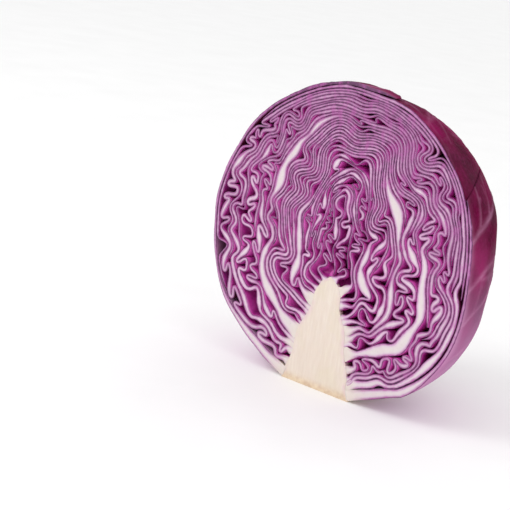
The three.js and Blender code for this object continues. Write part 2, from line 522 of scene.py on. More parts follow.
class OuterLeafSkin(Finish):
    """The weathered outside of an outer leaf: leathery burgundy, pink veins, and a grey bloom of wax, partly
    painted sheen.
    """

    name = "outer_leaf_skin"

    def __init__(self) -> None:
        """Builds the colours from the vein attribute and from noise."""
        super().__init__()
        tree = self.tree
        vein = self.attribute("vein")
        stops = [(0.3, "#3c051c"), (0.5, "#620834"), (0.72, "#84114e")]
        blotch = colour_ramp(tree, self.noise(24, 5), stops)
        stipple = spread(tree, self.noise(1.8, 4), 0.45, 0.7, 0.0, 0.2)
        skin = mix_colour(tree, stipple, blotch, "#8f2462")
        paleness = self.attribute("paleness")
        near = mix_colour(tree, paleness, skin, "#c283b2")
        drawn = arithmetic(tree, "MULTIPLY", vein, spread(tree, self.noise(14, 4), 0.3, 0.65, 0.08, 0.5))
        veined = mix_colour(tree, drawn, near, "#cf95ba")
        # Pale grey patches, most where the leaf is pale: partly the real wax bloom, partly a painted sheen
        # standing in for the skin's reflection.
        bloom_and_sheen_patches = spread(tree, self.noise(30, 6), 0.42, 0.7, 0.0, 1.0)
        bloom_and_sheen = arithmetic(tree, "MULTIPLY", bloom_and_sheen_patches, spread(tree, paleness, 0.0, 0.8, 0.04, 0.42))
        bloomed_and_sheened = mix_colour(tree, bloom_and_sheen, veined, "#b9a0bb")
        stalk = colour_ramp(tree, self.noise(3, 4), [(0.3, "#cdb9a6"), (0.7, "#e2d3c6")])
        bloomed_and_sheened = mix_colour(tree, self.attribute("stemness"), bloomed_and_sheened, stalk)
        self.feed(bloomed_and_sheened, "Base Color")
        self.varied_roughness(12, 4, 0.36, 0.55)
        # The skin hardly mirrors what stands round it: its reflection is turned almost off, and its sheen is
        # painted into the colour as part of the pale grey bloom.
        self.shader.inputs["Specular IOR Level"].default_value = 0.002
        pucker = self.noise(3.2, 4)
        grain = arithmetic(tree, "MULTIPLY", self.noise(0.8, 3), 0.3)
        self.bump(arithmetic(tree, "ADD", pucker, grain), 0.35, 0.6)


class CoreFlesh(Finish):
    """The cut core: dense, wet stem flesh, cream with a green tinge, and faint fibres that fan upwards."""

    name = "core_flesh"

    def __init__(self) -> None:
        """Builds the colours from the height and from the distance to the rim."""
        super().__init__()
        tree = self.tree
        fibres = self.noise(1.1, 4, (1.0, 1.0, 0.12))
        flesh = colour_ramp(tree, fibres, [(0.3, "#dfd0c2"), (0.55, "#e3d5c8"), (0.75, "#e8dccf")])
        patches = spread(tree, self.noise(13, 4), 0.5, 0.75, 0.0, 0.4)
        flesh = mix_colour(tree, patches, flesh, "#ddd2b4")
        stained = spread(tree, self.noise(6, 4), 0.4, 0.7, 0.0, 0.6)
        rim = arithmetic(tree, "MULTIPLY", self.attribute("rim"), stained)
        flesh = mix_colour(tree, rim, flesh, "#dcb4c8")
        trimmed = colour_ramp(tree, self.noise(2.4, 5), [(0.3, "#c9a98a"), (0.7, "#e6d2b4")])
        flesh = mix_colour(tree, self.attribute("dried"), flesh, trimmed)
        self.feed(flesh, "Base Color")
        self.varied_roughness(2.0, 3, 0.32, 0.55)
        self.translucent(0.12, (0.002, 0.0015, 0.001))
        self.bump(arithmetic(tree, "ADD", fibres, self.noise(0.7, 3)), 0.07, 0.5)


class Paper(Finish):
    """Matt white studio paper under the head."""

    name = "studio_paper"

    def __init__(self) -> None:
        """Sets the plain finish."""
        super().__init__()
        clouds = colour_ramp(self.tree, self.noise(60, 2), [(0.2, "#f3f3f3"), (0.8, "#f7f7f7")])
        self.feed(clouds, "Base Color")
        self.shader.inputs["Roughness"].default_value = 0.9


class Slot(Enum):
    """The record's material slots."""

    CORE = "core"
    HEAD_LEAF = "head_leaf"
    OUTER_LEAF = "outer_leaf"


@dataclass
class Dressing:
    """All the finishes, made once and shared by the pieces."""

    flesh: bpy.types.Material = field(default_factory=lambda: CutLeafFlesh().material)
    inner_skin: bpy.types.Material = field(default_factory=lambda: InnerLeafSkin().material)
    outer_skin: bpy.types.Material = field(default_factory=lambda: OuterLeafSkin().material)
    core: bpy.types.Material = field(default_factory=lambda: CoreFlesh().material)
    paper: bpy.types.Material = field(default_factory=lambda: Paper().material)


# ------------------------------------------------------------------------------------- mesh making


class Builder:
    """Gathers the points, faces and attributes of one closed piece.

    A cut face has a band of skin and a band of coloured flesh along each edge, and its edges are rounded off
    by a little. These are in millimetres.
    """

    skin_band = 0.26
    flesh_band = 0.6
    rounding = 0.07
    bevel = 0.28

    def __init__(self, name: str) -> None:
        """Starts an empty piece.

        Args:
            name: The piece's name.
        """
        self.name = name
        self.points: list[Array] = []
        self.values: dict[str, list[Array]] = {}
        self.faces: list[tuple[Array, int]] = []
        self.count = 0

    def add_points(self, points: Array, **values: Array | float) -> Array:
        """Adds points in millimetres and returns their numbers, in the same shape.

        Args:
            points: An array whose last axis is x, y, z.
            **values: Attribute values, one for each point or one for all.

        Returns:
            The numbers of the new points.
        """
        shape = points.shape[:-1]
        number = int(np.prod(shape))
        self.points.append(points.reshape(-1, 3))
        for name, value in values.items():
            self.values.setdefault(name, []).append(np.broadcast_to(value, shape).reshape(-1).astype(float))
        self.count += number
        return np.arange(self.count - number, self.count).reshape(shape)

    def add_leaf_face(self, rows: Array, **values: Array | float) -> Array:
        """Adds the points of one face of a leaf, with the edge of its cut set back by the bevel.

        Args:
            rows: Points by row and column, the edge of the cut first.
            **values: Attribute values, one for each point or one for all.

        Returns:
            The numbers of the new points.
        """
        rows = rows.copy()
        rows[0, :, 1] = np.minimum(self.bevel, rows[1, :, 1] / 2)
        return self.add_points(rows, skin_distance=0.0, **values)

    def add_grid(self, numbers: Array, material: int, turned: bool = False) -> None:
        """Fills a grid of point numbers with four-sided faces.

        Args:
            numbers: Point numbers by row and column.
            material: The material index of the faces.
            turned: True to face the other way.
        """
        corners = [numbers[:-1, :-1], numbers[:-1, 1:], numbers[1:, 1:], numbers[1:, :-1]]
        quads = np.stack(corners, -1).reshape(-1, 4)
        self.faces.append((quads[:, ::-1] if turned else quads, material))

    def add_fan(self, ring: Array, tip: int, material: int, turned: bool = False) -> None:
        """Joins a row of point numbers to one point with triangles.

        Args:
            ring: The point numbers in a row.
            tip: The number of the point they all join.
            material: The material index of the faces.
            turned: True to face the other way.
        """
        tips = np.full(len(ring) - 1, tip)
        triangles = np.stack([ring[:-1], ring[1:], tips], -1)
        self.faces.append((triangles[:, ::-1] if turned else triangles, material))

    def close_end(
        self, outer: Array, inner: Array, cut: Array, strip: int, corner: int, turned: bool
    ) -> None:
        """Closes one end of a leaf from its outer face to its inner face, with a corner at the cut.

        Args:
            outer: Point numbers down the end of the outer face, without the edge of the cut.
            inner: Point numbers down the end of the inner face.
            cut: Point numbers across the end of the cut face.
            strip: The material index of the end.
            corner: The material index of its corner at the cut.
            turned: True to face the other way.
        """
        self.add_grid(np.stack([outer, inner]), strip, turned=turned)
        face = np.array([[*cut, inner[0], outer[0]]])
        self.faces.append((face if turned else face[:, ::-1], corner))

    def add_cut_face(
        self,
        edges: tuple[Array, Array],
        outer: Array,
        inner: Array,
        recess: Array | float = 0.0,
        browned: Array | float = 0.0,
        **values: Array | float,
    ) -> Array:
        """Closes the front of a leaf with its cut face, whose edges are slightly rounded.

        Args:
            edges: The point numbers of the outer edge and of the inner edge.
            outer: The outer line in the cut plane.
            inner: The inner line in the cut plane.
            recess: How far the face lies behind the cut plane, along the line.
            browned: How far the cut has darkened, along the line.
            **values: Attribute values along the line.

        Returns:
            The point numbers of the face, by row across the leaf and by place along it.
        """
        width = np.linalg.norm(outer - inner, axis=1) + 1e-6
        skin = np.minimum(self.skin_band / width, 0.17)
        flesh = np.minimum(self.flesh_band / width, 0.34)
        shares = np.stack([skin, flesh, np.full_like(skin, 0.5), 1 - flesh, 1 - skin])
        cut = outer[None] + (inner - outer)[None] * shares[..., None]
        cut[..., 1] = np.array([self.rounding, 0, 0, 0, self.rounding])[:, None] + recess
        distance = np.minimum(shares, 1 - shares) * width * (1 - browned)
        across = self.add_points(cut, skin_distance=distance, **values)
        cap = np.vstack([edges[0], across, edges[1]])
        self.add_grid(cap, 0)
        return cap

    def build(self, placement: Placement, materials: list[bpy.types.Material]) -> bpy.types.Object:
        """Makes the Blender object, with its place in its mesh.

        Args:
            placement: Where the head lies in the frame.
            materials: The materials, by index.

        Returns:
            The object, linked to the scene.
        """
        mesh = bpy.data.meshes.new(self.name)
        points = placement.to_frame(np.concatenate(self.points))
        corners = [np.full(len(faces), faces.shape[1]) for faces, _ in self.faces]
        totals = np.concatenate(corners)
        loops = np.concatenate([faces.reshape(-1) for faces, _ in self.faces])
        starts = np.concatenate([[0], np.cumsum(totals)[:-1]])
        mesh.vertices.add(len(points))
        mesh.vertices.foreach_set("co", points.astype(np.float32).reshape(-1))
        mesh.loops.add(len(loops))
        mesh.loops.foreach_set("vertex_index", loops.astype(np.int32))
        mesh.polygons.add(len(totals))
        mesh.polygons.foreach_set("loop_start", starts.astype(np.int32))
        indices = np.concatenate([np.full(len(faces), material) for faces, material in self.faces])
        mesh.polygons.foreach_set("material_index", indices.astype(np.int32))
        mesh.polygons.foreach_set("use_smooth", np.ones(len(totals), bool))
        mesh.update(calc_edges=True)
        for name, parts in self.values.items():
            attribute = mesh.attributes.new(name, "FLOAT", "POINT")
            attribute.data.foreach_set("value", np.concatenate(parts).astype(np.float32))
        for material in materials:
            mesh.materials.append(material)
        self.face_outwards(mesh)
        piece = bpy.data.objects.new(self.name, mesh)
        bpy.context.scene.collection.objects.link(piece)
        return piece

    @staticmethod
    def face_outwards(mesh: bpy.types.Mesh) -> None:
        """Turns all faces over if the closed mesh is inside out.

        Args:
            mesh: The mesh.
        """
        mesh.calc_loop_triangles()
        triangles = np.empty(len(mesh.loop_triangles) * 3, np.int32)
        mesh.loop_triangles.foreach_get("vertices", triangles)
        points = np.empty(len(mesh.vertices) * 3, np.float32)
        mesh.vertices.foreach_get("co", points)
        a, b, c = points.reshape(-1, 3)[triangles.reshape(-1, 3)].transpose(1, 0, 2)
        if (a * np.cross(b, c)).sum() < 0:
            mesh.flip_normals()


# ------------------------------------------------------------------------ growth of the cut leaves


@dataclass(frozen=True)
class Swelling:
    """A stretch of midrib: where it is thickest, by turn on the leaf's own side, and how far it tapers."""

    turn: float
    half_width: float
    thickness: float


def swellings(*stretches: tuple[float, float, float]) -> tuple[Swelling, ...]:
    """Makes the stretches of one midrib from (turn, half width, thickness) in degrees and millimetres."""
    return tuple(Swelling(*stretch) for stretch in stretches)


MIDRIBS: dict[int, tuple[Swelling, ...]] = {
    1: swellings((150, 40, 3.6)),
    2: swellings((150, 40, 3.6)),
    4: swellings((152, 30, 4.6), (112, 24, 4.6)),
    5: swellings((152, 24, 3.4)),
    8: swellings((152, 26, 4.2), (82, 26, 6.6), (48, 14, 4.4)),
    9: swellings((145, 30, 4.6), (95, 26, 5.2), (60, 26, 3.6), (38, 12, 3.6)),
    12: swellings((154, 22, 3.4)),
    14: swellings((152, 24, 3.6), (102, 22, 4.6), (40, 17, 7.6)),
    16: swellings((154, 20, 3.2)),
    19: swellings(
        (150, 34, 7.2), (118, 34, 6.2), (80, 34, 3.4), (43, 13, 5.4), (30, 13, 5.0), (14, 12, 3.4)
    ),
    20: swellings((158, 26, 4.6), (122, 36, 7.2), (92, 26, 5.2), (68, 16, 4.0)),
    23: swellings((152, 22, 3.2)),
    25: swellings((150, 28, 3.4), (112, 26, 3.2)),
    27: swellings((150, 34, 3.6)),
    28: swellings((150, 34, 4.4), (108, 30, 3.8), (80, 20, 2.8)),
}
PLAIN_MIDRIB = swellings((156, 10, 2.8))

# The room a leaf has beside the core and halfway up its own side, in relative millimetres. Leaves with even
# numbers spring from the right.
ROOM_BESIDE_CORE: dict[int, float] = {
    1: 3.0, 3: 1.8, 5: 4.5, 7: 1.8, 9: 6.5, 11: 1.8, 13: 2.2,
    15: 4.5, 17: 1.8, 19: 8.5, 21: 2.0, 23: 2.4, 25: 4.5, 27: 6.5,
    2: 6.0, 4: 4.5, 6: 1.8, 8: 5.5, 10: 1.8, 12: 2.2, 14: 6.5,
    16: 1.8, 18: 2.0, 20: 9.0, 22: 7.0, 24: 2.4, 26: 1.8, 28: 1.8,
}
ROOM_HALFWAY: dict[int, float] = {
    1: 4.5, 3: 4.5, 5: 4.5, 7: 4.5, 9: 5.0, 11: 2.8, 13: 2.8,
    15: 2.8, 17: 2.8, 19: 5.5, 21: 8, 23: 8, 25: 4, 27: 8,
    2: 8, 4: 5, 6: 5, 8: 5, 10: 5, 12: 5, 14: 4.5,
    16: 6.5, 18: 6.5, 20: 7, 22: 6, 24: 4, 26: 2.4, 28: 2.4,
}
ROOM_OVER_HEART: dict[int, float] = {1: 11, 2: 9, 3: 8, 4: 7, 5: 5.2, 6: 5.2, 7: 5.2, 8: 5.2}
ROOM_OVER_TOP = 1.8


@dataclass
class LeafLine:
    """One leaf's line in the cut, from the core to its far margin.

    The home turn and share say where each point lay in the smooth layer that the leaf started as.
    """

    number: int
    points: Array
    thickness: Array
    home_turn: Array
    home_share: Array
    stiffness: Array

    @property
    def side(self) -> int:
        """-1 for a leaf that springs from the left of the core, 1 from the right."""
        return -1 if self.number % 2 else 1

    @property
    def name(self) -> str:
        """The leaf's node name."""
        return f"head_leaf_{self.number:02d}_{'left' if self.side < 0 else 'right'}"


@dataclass(frozen=True)
class SmoothLayer:
    """The layer that a leaf starts as: turns, distances from the growing point, room, and own degrees."""

    number: int
    turn: Array
    radius: Array
    width: Array
    own: Array


@dataclass
class CutSection:
    """The folded lines of all the head leaves in the cut plane, grown in the room that the head has.

    The step is the distance between a line's points once it is grown. The fill says how much of its room a
    leaf takes up. Points below the top of the core are kept out of it, and the first few points of each leaf
    are held where it springs from the core.
    """

    shape: HeadShape
    leaf_count: int = 28
    heart_count: int = 8
    heart_gap: float = 2.5
    step: float = 1.3
    fill: float = 0.78
    heart_fill: float = 0.44
    blade: float = 1.5
    seed: int = 4
    growth_steps: int = 900
    lengthening_share: float = 0.7
    search_every: int = 8
    search_margin: float = 0.9
    search_cell: float = 3.6
    held_points: int = 3
    core_top: float = 60.0
    heart_heights: tuple[float, ...] = (33, 37, 41, 45, 48.5, 51.5, 54, 56.5, 59)
    lines: list[LeafLine] = field(default_factory=list)
    ring: Array = field(init=False)
    ring_reach: Array = field(init=False)

    def __post_init__(self) -> None:
        """Works out once how far the head reaches all round the growing point."""
        self.ring = np.radians(np.linspace(-180, 180, 361))
        outside = self.shape.ray_length(self.ring, np.zeros_like(self.ring))
        self.ring_reach = outside - self.shape.wrap_depth(self.ring)

    @property
    def growing_point(self) -> Array:
        """The point that the leaves spring from, as x and z."""
        return np.array([0.0, self.shape.growing_height])

    def room_over_top(self, number: int) -> float:
        """The relative room of a leaf over the top of the head."""
        return ROOM_OVER_HEART.get(number, ROOM_OVER_TOP)

    def reach(self, number: int) -> float:
        """How far down the far side a leaf reaches, in degrees of turn."""
        base = 45 if number < 10 else 62 if number < 20 else 88
        return base + 9 * ((number * 3) % 5 - 2)

    def room(self, number: int, turn: Array) -> Array:
        """The relative room of a leaf at each turn.

        Args:
            number: The leaf's number, from 1 at the heart.
            turn: Turns in degrees.

        Returns:
            The room in relative millimetres, and 0 past the leaf's far margin.
        """
        own = turn * (-1 if number % 2 else 1)
        top, halfway = self.room_over_top(number), ROOM_HALFWAY[number]
        room = blend(top, halfway, smooth(own, 20, 75))
        room = blend(room, ROOM_BESIDE_CORE[number], smooth(own, 100, 152))
        room = room + (1.9 - top) * smooth(-own, 10, 55)
        return room * smooth(own, -self.reach(number) - 5, -self.reach(number) + 5)

    def head_reach(self, turn: Array) -> Array:
        """Distance from the growing point to the inside of the outer leaves, for turns in radians."""
        return np.interp(turn, self.ring, self.ring_reach)

    def blade_thickness(
        self, number: int, own: Array, along: Array, room: Array, rng: Chance
    ) -> Array:
        """The thickness of a leaf along its line, with its midrib and the veins that the cut crosses.

        Args:
            number: The leaf's number.
            own: The turn on the leaf's own side, in degrees.
            along: The distance along the line.
            room: The room across the leaf, in millimetres.
            rng: The source of chance.

        Returns:
            The thickness at each point, in millimetres.
        """
        blade = self.blade + 0.6 * smooth(own, 25, 70) * (1 - 0.4 * smooth(own, 100, 150))
        blade = blade * (0.8 if number <= self.heart_count else 1.0)
        thick = blade.copy()
        for rib in MIDRIBS.get(number, PLAIN_MIDRIB):
            taper = (1 - np.clip(np.abs(own - rib.turn) / rib.half_width, 0, 1) ** 2) ** 1.5
            thick = np.maximum(thick, blend(blade, rib.thickness, taper))
        veins = np.zeros_like(along)
        at = 8.0
        while at < along[-1] - 5:
            at += rng.uniform(8, 24)
            veins += np.exp(-(((along - at) / rng.uniform(1.6, 4.5)) ** 2)) * rng.uniform(0.5, 2.6)
        thick = np.maximum(thick, blade + veins * smooth(room / blade, 1.3, 2.6))
        uneven = sum(np.sin(along / gap + rng.uniform(0, FULL_TURN)) * 0.11 for gap in (3.1, 6.7, 11))
        return thick * (1 + uneven)

    def lay_out(self) -> None:
        """Places every leaf as a smooth layer, and works out how long its blade wants to become."""
        rng = np.random.default_rng(self.seed)
        degrees = np.linspace(-160, 160, 641)
        turns = np.radians(degrees)
        rooms = np.stack([self.room(number, degrees) for number in range(1, self.leaf_count + 1)])
        reach = self.head_reach(turns)
        edges = np.vstack([np.zeros_like(turns), np.cumsum(rooms, 0)]) / rooms.sum(0)
        edges = self.tall_heart(self.heart_gap + (reach - self.heart_gap) * edges, degrees, reach)
        for number in range(1, self.leaf_count + 1):
            own = degrees * (-1 if number % 2 else 1)
            in_pairs = 0.82 if number % 2 else 0.18
            place = in_pairs if number <= self.heart_count else 0.5
            middle = blend(edges[number - 1], edges[number], place)
            width = edges[number] - edges[number - 1]
            start_turn = self.meeting_turn(middle[np.argmin(np.abs(own - 155))])
            chosen = np.where((own <= start_turn) & (own >= -self.reach(number)))[0]
            chosen = chosen[np.argsort(-own[chosen])]
            layer = SmoothLayer(number, turns[chosen], middle[chosen], width[chosen], own[chosen])
            self.lines.append(self.lay_leaf(layer, rng))

    def tall_heart(self, edges: Array, degrees: Array, reach: Array) -> Array:
        """Makes the heart leaves tall and narrow over the growing point, and fits the others round them.

        Args:
            edges: The distances of the bands' edges, by leaf and by turn.
            degrees: The turns.
            reach: The distance to the inside of the outer leaves.

        Returns:
            The new edges.
        """
        beside, last = 75.0, self.heart_count
        angle = np.radians(np.abs(degrees))
        tall = edges.copy()
        for number in range(last + 1):
            at_side = [np.interp(side * beside, degrees, edges[number]) for side in (-1, 1)]
            width = np.where(degrees < 0, *at_side) * math.sin(math.radians(beside))
            power = 2.3 + 1.3 * number / last
            share = (np.sin(angle) / width) ** power + (np.cos(angle) / self.heart_heights[number]) ** power
            tall[number] = share ** (-1 / power)
        grown = (edges[last:] - edges[last]) / (reach - edges[last])
        tall[last:] = tall[last] + (reach - tall[last]) * grown
        return np.where(np.abs(degrees) < beside, tall, edges)

    def undulation(self, points: Array) -> Array:
        """Moves a smooth layer in and out a little, and more towards the heart.

        Args:
            points: The layer's points.

        Returns:
            The new points.
        """
        offset = points - self.growing_point
        distance = np.hypot(offset[:, 0], offset[:, 1]) + 1e-9
        turn = np.arctan2(offset[:, 0], offset[:, 1])
        share = distance / self.head_reach(turn)
        size = 1.0 * smooth(1 - share, 0.02, 0.35) * smooth(share, 0.2, 0.45)
        arc = turn * 60
        waves = np.sin(arc / 8.3 - 2.0 * share + 2.2) + 0.5 * np.sin(arc / 4.1 - 5 * share)
        waves = waves + 0.3 * np.sin(arc / 2.7)
        return points + offset / distance[:, None] * (size * waves)[:, None]

    def meeting_turn(self, radius: float) -> float:
        """The turn at which an arc round the growing point meets the core.

        Args:
            radius: The arc's radius.

        Returns:
            The turn in degrees.
        """
        low, high = math.radians(90), math.radians(180)
        for _ in range(30):
            middle = (low + high) / 2
            height = self.shape.growing_height + radius * math.cos(middle)
            outside = radius * math.sin(middle) > self.shape.core_half_width(max(height, 0.0)) + 0.3
            low, high = (middle, high) if outside else (low, middle)
        return math.degrees(low)

    def growth(
        self, layer: SmoothLayer, along: Array, thick: Array, rng: Chance
    ) -> Array:
        """How many times its first length each part of a leaf wants to become.

        Args:
            layer: The leaf's smooth layer.
            along: The distance along it.
            thick: The leaf's thickness.
            rng: The source of chance.

        Returns:
            The factor at each point, 1 on a stiff midrib.
        """
        in_heart = layer.number <= self.heart_count
        away = np.abs(layer.own)
        fill = self.fill * (self.heart_fill + 0.2 * (1 - smooth(away, 15, 45)) if in_heart else 1.0)
        patches = 1 + 0.5 * np.sin(along * 2 * math.pi / rng.uniform(28, 46) + rng.uniform(0, FULL_TURN))
        growth = np.clip(fill * patches * layer.width / thick, 1.0, 3.4)
        if not in_heart:
            growth = np.maximum(growth, 1.0 + 0.10 * (1 - smooth(away, 25, 70)))
        return 1 + (growth - 1) * (1 - smooth(thick, 2.7, 3.3))

    @staticmethod
    def creases(count: int, rng: Chance) -> Array:
        """A blade's stiffness, with soft places where it may crease.

        Args:
            count: How many points the blade has.
            rng: The source of chance.

        Returns:
            The stiffness at each point.
        """
        stiffness = np.full(count, 0.20)
        crease = 0
        while crease < count:
            stiffness[crease : crease + 2] = 0.05
            crease += int(rng.integers(4, 8))
        return stiffness

    def lay_leaf(self, layer: SmoothLayer, rng: Chance) -> LeafLine:
        """Makes one leaf's first line, with its points spread so that each step can grow to the same length.

        Args:
            layer: The leaf's smooth layer.
            rng: The source of chance.

        Returns:
            The line.
        """
        rays = np.stack([np.sin(layer.turn), np.cos(layer.turn)], 1)
        points = self.growing_point + layer.radius[:, None] * rays
        steps = np.linalg.norm(np.diff(points, axis=0), axis=1)
        along = line_lengths(points)
        thick = self.blade_thickness(layer.number, layer.own, along, layer.width, rng)
        growth = self.growth(layer, along, thick, rng)
        grown = np.concatenate([[0], np.cumsum(steps * (growth[1:] + growth[:-1]) / 2)])
        count = max(8, int(round(grown[-1] / self.step)))
        at = np.linspace(0, grown[-1], count)
        columns = (thick, smooth(thick, 2.7, 3.3), layer.turn, layer.radius, layer.width, *points.T)
        thick, ribness, turn, radius, width, x, z = (np.interp(at, grown, column) for column in columns)
        line = np.stack([x, z], 1)
        across = np.stack([np.gradient(line[:, 1]), -np.gradient(line[:, 0])], 1)
        across /= np.linalg.norm(across, axis=1)[:, None]
        ripples = ((9, 0.35), (14, 0.35), (23, 0.3))
        waves = sum(
            np.sin(at * 2 * math.pi / gap + rng.uniform(0, FULL_TURN)) * size for gap, size in ripples
        )
        slack = np.clip(width - thick, 0, 3)
        line = self.undulation(line)
        line += across * (0.25 * waves * slack * (1 - ribness) * smooth(at, 3, 12))[:, None]
        packed = 0.35 * (1 - smooth(width / thick, 1.15, 1.6))
        stiffness = np.maximum(self.creases(count, rng), np.maximum(0.9 * ribness, packed))
        return LeafLine(layer.number, line, thick, turn, radius / self.head_reach(turn), stiffness)

    def neighbours(
        self, points: Array, radius: Array, leaf: Array, place: Array
    ) -> tuple[Array, Array]:
        """Finds the pairs of points that may touch, apart from those close along one leaf.

        Args:
            points: All points.
            radius: Half the leaf's thickness at each.
            leaf: The number of each point's leaf.
            place: Each point's place along its leaf.

        Returns:
            The numbers of the first and the second points.
        """
        cells = np.floor(points / self.search_cell).astype(int)
        cells -= cells.min(0) - 2
        width = cells[:, 0].max() + 4
        key = cells[:, 0] + width * cells[:, 1]
        order = np.argsort(key, kind="stable")
        in_order = key[order]
        firsts, seconds = [], []
        offsets = [(dx, dz) for dz in range(0, 3) for dx in range(-2, 3) if dz > 0 or dx >= 0]
        for dx, dz in offsets:
            target = key + dx + width * dz
            low = np.searchsorted(in_order, target, "left")
            count = np.searchsorted(in_order, target, "right") - low
            first = np.repeat(np.arange(len(points)), count)
            step = np.arange(count.sum()) - np.repeat(np.cumsum(count) - count, count)
            second = order[np.repeat(low, count) + step]
            if dx == 0 and dz == 0:
                first, second = first[first < second], second[first < second]
            gap = points[first] - points[second]
            close = (gap**2).sum(1) < (radius[first] + radius[second] + self.search_margin) ** 2
            first, second = first[close], second[close]
            bend = 1.7 * (radius[first] + radius[second]) + 1.3
            far_along = np.abs(place[first] - place[second]) * self.step > bend
            keep = (leaf[first] != leaf[second]) | far_along
            firsts.append(first[keep])
            seconds.append(second[keep])
        return np.concatenate(firsts), np.concatenate(seconds)

    def grow(self) -> None:
        """Lengthens every blade step by step, while the leaves keep out of each other and of the core."""
        points = np.concatenate([line.points for line in self.lines])
        radius = np.concatenate([line.thickness for line in self.lines]) / 2
        stiffness = np.concatenate([line.stiffness for line in self.lines])
        leaf = np.concatenate([np.full(len(line.points), line.number) for line in self.lines])
        place = np.concatenate([np.arange(len(line.points)) for line in self.lines])
        free = (place >= self.held_points).astype(float)[:, None]
        steps = np.where(leaf[1:] == leaf[:-1])[0]
        first_length = np.linalg.norm(points[steps + 1] - points[steps], axis=1)
        inner = np.where(leaf[2:] == leaf[:-2])[0] + 1
        before = points.copy()
        for tick in range(self.growth_steps):
            grown = min(1.0, tick / (self.growth_steps * self.lengthening_share))
            length = blend(first_length, self.step, grown)
            drift = np.clip((points - before) * 0.85, -0.25, 0.25) * free
            before = points.copy()
            points = points + drift
            if tick % self.search_every == 0:
                one, two = self.neighbours(points, radius, leaf, place)
            for _ in range(2):
                self.lengthen(points, steps, length, free)
                points += self.straighten(points, inner, stiffness) * free
                points += self.separate(points, radius, one, two) * free
                points = self.confine(points, radius, free)
        self.store(points, leaf)

    @staticmethod
    def lengthen(points: Array, steps: Array, length: Array, free: Array) -> None:
        """Pushes the two ends of every step towards its length, every second step at a time.

        Args:
            points: All points, which are moved.
            steps: The number of each step's first point.
            length: The length that each step should have.
            free: 1 for a point that may move and 0 for one that is held.
        """
        for half in (slice(0, None, 2), slice(1, None, 2)):
            start = steps[half]
            gap = points[start + 1] - points[start]
            now = np.sqrt((gap**2).sum(1)) + 1e-9
            pull = gap * ((now - length[half]) / now * 0.5)[:, None]
            points[start] += pull * free[start]
            points[start + 1] -= pull * free[start + 1]

    @staticmethod
    def straighten(points: Array, inner: Array, stiffness: Array) -> Array:
        """The moves that unbend the blades.

        Args:
            points: All points.
            inner: The numbers of the points with a neighbour on both sides.
            stiffness: How much of its bend each point gives up.

        Returns:
            The move of each point.
        """
        sag = ((points[inner - 1] + points[inner + 1]) / 2 - points[inner]) * stiffness[inner, None]
        moves = np.zeros_like(points)
        moves[inner] += sag * 0.5
        moves[inner - 1] -= sag * 0.25
        moves[inner + 1] -= sag * 0.25
        return moves

    @staticmethod
    def separate(points: Array, radius: Array, one: Array, two: Array) -> Array:
        """The moves that take touching pairs apart.

        Args:
            points: All points.
            radius: Half the leaf's thickness at each.
            one: The first point of each pair that may touch.
            two: The second point of each pair.

        Returns:
            The move of each point.
        """
        number = len(points)
        gap = points[one] - points[two]
        now = np.sqrt((gap**2).sum(1)) + 1e-9
        overlap = radius[one] + radius[two] - now
        touching = overlap > 0
        a, b = one[touching], two[touching]
        push = gap[touching] * (overlap[touching] * 0.5 / now[touching])[:, None]
        moves = [np.bincount(a, push[:, q], number) - np.bincount(b, push[:, q], number) for q in (0, 1)]
        times = np.bincount(a, minlength=number) + np.bincount(b, minlength=number)
        return np.stack(moves, 1) / np.maximum(times, 1)[:, None] * 1.5

    def confine(self, points: Array, radius: Array, free: Array) -> Array:
        """Keeps the points inside the outer leaves and outside the core.

        Args:
            points: All points.
            radius: Half the leaf's thickness at each.
            free: 1 for a point that may move and 0 for one that is held.

        Returns:
            The points, moved.
        """
        offset = points - self.growing_point
        distance = np.hypot(offset[:, 0], offset[:, 1]) + 1e-9
        limit = self.head_reach(np.arctan2(offset[:, 0], offset[:, 1])) - radius
        out = distance > limit
        points[out] = self.growing_point + offset[out] * (limit[out] / distance[out])[:, None]
        half = self.shape.core_half_width(np.maximum(points[:, 1], 0)) + radius * 0.9 + 0.2
        inside = (np.abs(points[:, 0]) < half) & (points[:, 1] < self.core_top) & (free[:, 0] > 0)
        push = (half - np.abs(points[:, 0]))[inside]
        points[inside, 0] += push * np.sign(points[inside, 0] + 1e-9) * 0.6
        points[inside, 1] += push * 0.25
        return points

    def store(self, points: Array, leaf: Array) -> None:
        """Gives each leaf its grown line back."""
        for line in self.lines:
            line.points = points[leaf == line.number]


def hand_over(piece: bpy.types.Object, node: str) -> None:
    """Tells the frame which body a piece rides on, and hides the node that it replaces.

    Args:
        piece: The finished piece.
        node: The name of the node it replaces.
    """
    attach(piece, BODY)
    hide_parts(node)


# ------------------------------------------------------------------------------------- head leaves


